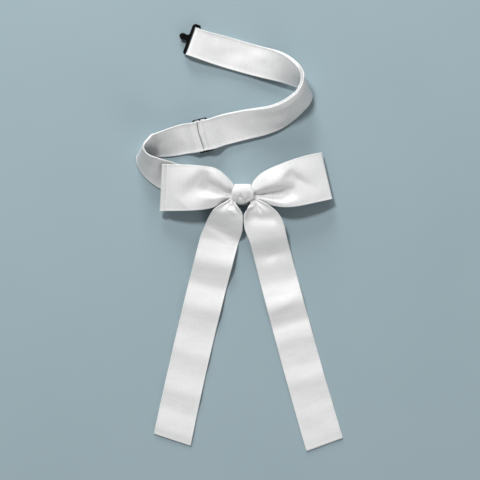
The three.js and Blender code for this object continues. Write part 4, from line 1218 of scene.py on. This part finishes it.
@dataclass
class EyeRing:
    """The plain ring that the hook closes on, held in the hem behind the knot."""

    length: float = 9.8
    width: float = 14.6
    bar: float = 1.2
    corner: float = 2.0
    edge: float = 0.4

    def build(self, band: NeckBand) -> None:
        """Args:
            band: the strip whose hem holds it.
        """
        outline = rounded_rectangle(0, 0, self.length, self.width, self.corner)
        inner = (self.length - 2 * self.bar, self.width - 2 * self.bar)
        hole = rounded_rectangle(0, 0, *inner, self.corner - self.bar)
        ring = stamped(outline, [hole], self.bar, self.edge)
        ring.transform(band.mount(-(self.length - self.bar) / 2, band.hem_round))
        declare(as_object("metal_eye_ring", ring), "eye_ring", Slot.METAL)


@dataclass
class Hook:
    """A plate with a slot open at its lower end, and a stem with a knob.

    The tongue turns back under the knob.
    """

    low: float = -11.0  # the plate's ends across the band
    high: float = 13.4
    middle: float = 1.4  # where the stem is
    bar: float = 1.2  # the bar in the hem
    slot: float = 1.95
    body: float = 2.25  # the plate beyond the slot
    rail: float = 2.15  # the plate at the slot's closed end
    stem: float = 4.2
    knob_at: float = 9.3  # from the bar to the knob's middle
    knob: float = 2.4  # radius of the knob
    tongue: tuple[float, float, float] = (6.0, 3.4, 1.6)  # length, and width at its root and tip
    bend: float = 1.3  # radius of the tongue's turn, at the middle of the metal
    bend_cuts: int = 12
    plate: float = 1.2
    edge: float = 0.35
    shoulder: float = 1.0  # how far the upper end stands out past the bar
    stem_from: float = 2.2  # from the plate to where the stem's sides are followed
    side_steps: int = 60
    bend_step: float = 12.0  # degrees

    @property
    def far(self) -> float:
        """Distance from the bar to the plate's outer edge."""
        return self.bar / 2 + self.slot + self.body

    @property
    def turn(self) -> float:
        """Distance from the bar to where the tongue starts to turn."""
        return self.knob_at + self.knob - self.plate / 2 - self.bend

    def half_width(self, x: float) -> float:
        """Find half of the width of the stem, its knob or the tongue.

        Args:
            x: distance along the flat blank.

        Returns:
            Millimetres to either side of the stem's middle.
        """
        length, root, tip = self.tongue
        angle = min(max((x - self.turn) / self.bend, 0.0), math.pi)
        rim = x if angle == 0 else self.turn + (self.bend + self.plate / 2) * math.sin(angle)
        least = 0.1  # the blank never narrows to nothing
        sunk = max(self.knob**2 - max(0.0, rim - self.knob_at) ** 2, least)
        if angle > math.pi / 2:
            past = (x - self.turn - math.pi * self.bend) / length
            return min(math.sqrt(sunk), mixed(root, tip, max(past, 0.0)) / 2)
        share = smooth((x - self.far) / (self.knob_at - self.far))
        return min(math.sqrt(sunk), mixed(self.stem / 2, self.knob, share))

    def blank(self) -> list[Vector]:
        """Return the outline of the flat blank, with the tongue unrolled straight."""
        near, inner, outer = -self.bar / 2, self.bar / 2, self.bar / 2 + self.slot
        top, half, far = self.high - self.rail, self.stem / 2, self.far
        tip = self.turn + math.pi * self.bend + self.tongue[0]
        steps = self.side_steps
        places = [mixed(far + self.stem_from, tip, k / steps) for k in range(steps + 1)]
        one_side = [(x, self.middle - self.half_width(x)) for x in places]
        other_side = [(x, self.middle + self.half_width(x)) for x in reversed(places)]
        # Each row is a corner's place and the radius there.
        corners = [
            (near, self.low, 0.4),
            (inner, self.low, 0.4),
            (inner, top, 0.2),
            (outer, top, 0.2),
            (outer, self.low, 0.3),
            (far, self.low, 1.8),
            (far, self.middle - half, 1.7),
            *one_side,
            *other_side,
            (far, self.middle + half, 1.7),
            (far, self.high, 2.5),
            (near - self.shoulder, self.high, 1.8),
            (near - self.shoulder, top, 0.25),
            (near, top, 0.1),
        ]
        return rounded_path(corners, UNBROKEN, self.bend_step, closed=True)

    def bent(self, x: float, z: float) -> Pair:
        """Bend the tongue round its turn.

        Args:
            x: distance along the flat blank.
            z: height over the blank's middle plane.

        Returns:
            The distance along the band and the height over the plate's middle plane.
        """
        if x <= self.turn:
            return x, z
        angle = min((x - self.turn) / self.bend, math.pi)
        past = x - self.turn - angle * self.bend
        arm = self.bend - z
        return self.turn + arm * math.sin(angle) - past, self.bend - arm * math.cos(angle)

    def build(self, band: NeckBand) -> None:
        """Args:
            band: the strip that it is on.
        """
        hook = stamped(self.blank(), [], self.plate, self.edge)
        for k in range(self.bend_cuts + 1):
            cut = (self.turn + math.pi * self.bend * k / self.bend_cuts, 0, 0)
            parts = [*hook.verts, *hook.edges, *hook.faces]
            bmesh.ops.bisect_plane(hook, geom=parts, plane_co=cut, plane_no=(1, 0, 0))
        for vert in hook.verts:
            vert.co.x, vert.co.z = self.bent(vert.co.x, vert.co.z)
        hook.transform(band.mount(band.course.length, band.hem_round))
        declare(as_object("metal_hook", hook), "hook", Slot.METAL)


# The studio


@dataclass(frozen=True)
class Lamp:
    """A square soft light: where it hangs and its side in metres, and its power in watts."""

    name: str
    place: tuple[float, float, float]
    size: float
    watts: float


@dataclass
class Studio:
    """A plain pale floor, soft lights from the top of the picture, and the camera.

    The rake is a low light that brings out the folds, and the bounce keeps the shade from going
    black.
    """

    field: float = 0.360  # metres that the picture takes in on the floor
    middle: Pair = (-0.00225, -0.03375)  # of the picture on the floor, in metres
    height: float = 6.0  # far enough that the standing turns of the band don't lean outwards
    sensor: float = 36.0  # millimetres
    lamps: tuple[Lamp, ...] = (
        Lamp("key", (-0.6, 1.3, 1.7), 0.35, 33.0),
        Lamp("rake", (-0.4, 2.2, 0.75), 0.8, 38.0),
        Lamp("bounce", (0.9, -1.5, 0.7), 1.2, 10.0),
    )
    light: str = "#FFFFFF"
    air: str = "#F5F6F6"
    fill: float = 0.22  # strength of the room's even light
    ground: float = 3.0  # half of the floor's side, in metres

    def build(self) -> None:
        """Set up the floor, the lights and the camera."""
        self.floor()
        for lamp in self.lamps:
            self.hang(lamp)
        self.sky()
        self.camera()

    def floor(self) -> None:
        """Lay the floor."""
        shape = bmesh.new()
        bmesh.ops.create_grid(shape, x_segments=1, y_segments=1, size=self.ground)
        piece = as_object("floor", shape)
        piece.data.materials.append(MattPaper().made())

    def hang(self, lamp: Lamp) -> None:
        """Hang a light that points at the tie.

        Args:
            lamp: the light.
        """
        light = bpy.data.lights.new(lamp.name, "AREA")
        light.size, light.energy = lamp.size, lamp.watts
        light.color = linear(self.light)[:3]
        holder = bpy.data.objects.new(lamp.name, light)
        aim = Vector((*self.middle, 0)) - Vector(lamp.place)
        holder.location = lamp.place
        holder.rotation_euler = aim.to_track_quat("-Z", "Y").to_euler()
        bpy.context.scene.collection.objects.link(holder)

    def sky(self) -> None:
        """Fill the room with an even light."""
        world = bpy.data.worlds.new("room")
        world.use_nodes = True
        world.node_tree.nodes.clear()
        tree = world.node_tree
        glow = add_node(tree, "Background", {"Color": linear(self.air), "Strength": self.fill})
        add_node(tree, "OutputWorld", {"Surface": glow})
        bpy.context.scene.world = world

    def camera(self) -> None:
        """Hang the camera straight over the tie."""
        lens = bpy.data.cameras.new("camera")
        lens.sensor_fit = "HORIZONTAL"
        lens.sensor_width = self.sensor
        lens.lens = self.sensor * self.height / self.field
        lens.clip_end = 20
        holder = bpy.data.objects.new("camera", lens)
        holder.location = (*self.middle, self.height)
        bpy.context.scene.collection.objects.link(holder)
        bpy.context.scene.camera = holder
        bpy.context.scene.view_settings.view_transform = "Standard"


def main() -> None:
    """Build the studio and every piece of the tie."""
    logging.basicConfig(level=logging.INFO, format="%(name)s: %(message)s")
    Studio().build()
    band = NeckBand()
    for soft in (band, Bow(), Knot(), *TAILS):
        soft.build()
    for hard in (Slide(), EyeRing(), Hook()):
        hard.build(band)


if __name__ == "__main__":
    main()
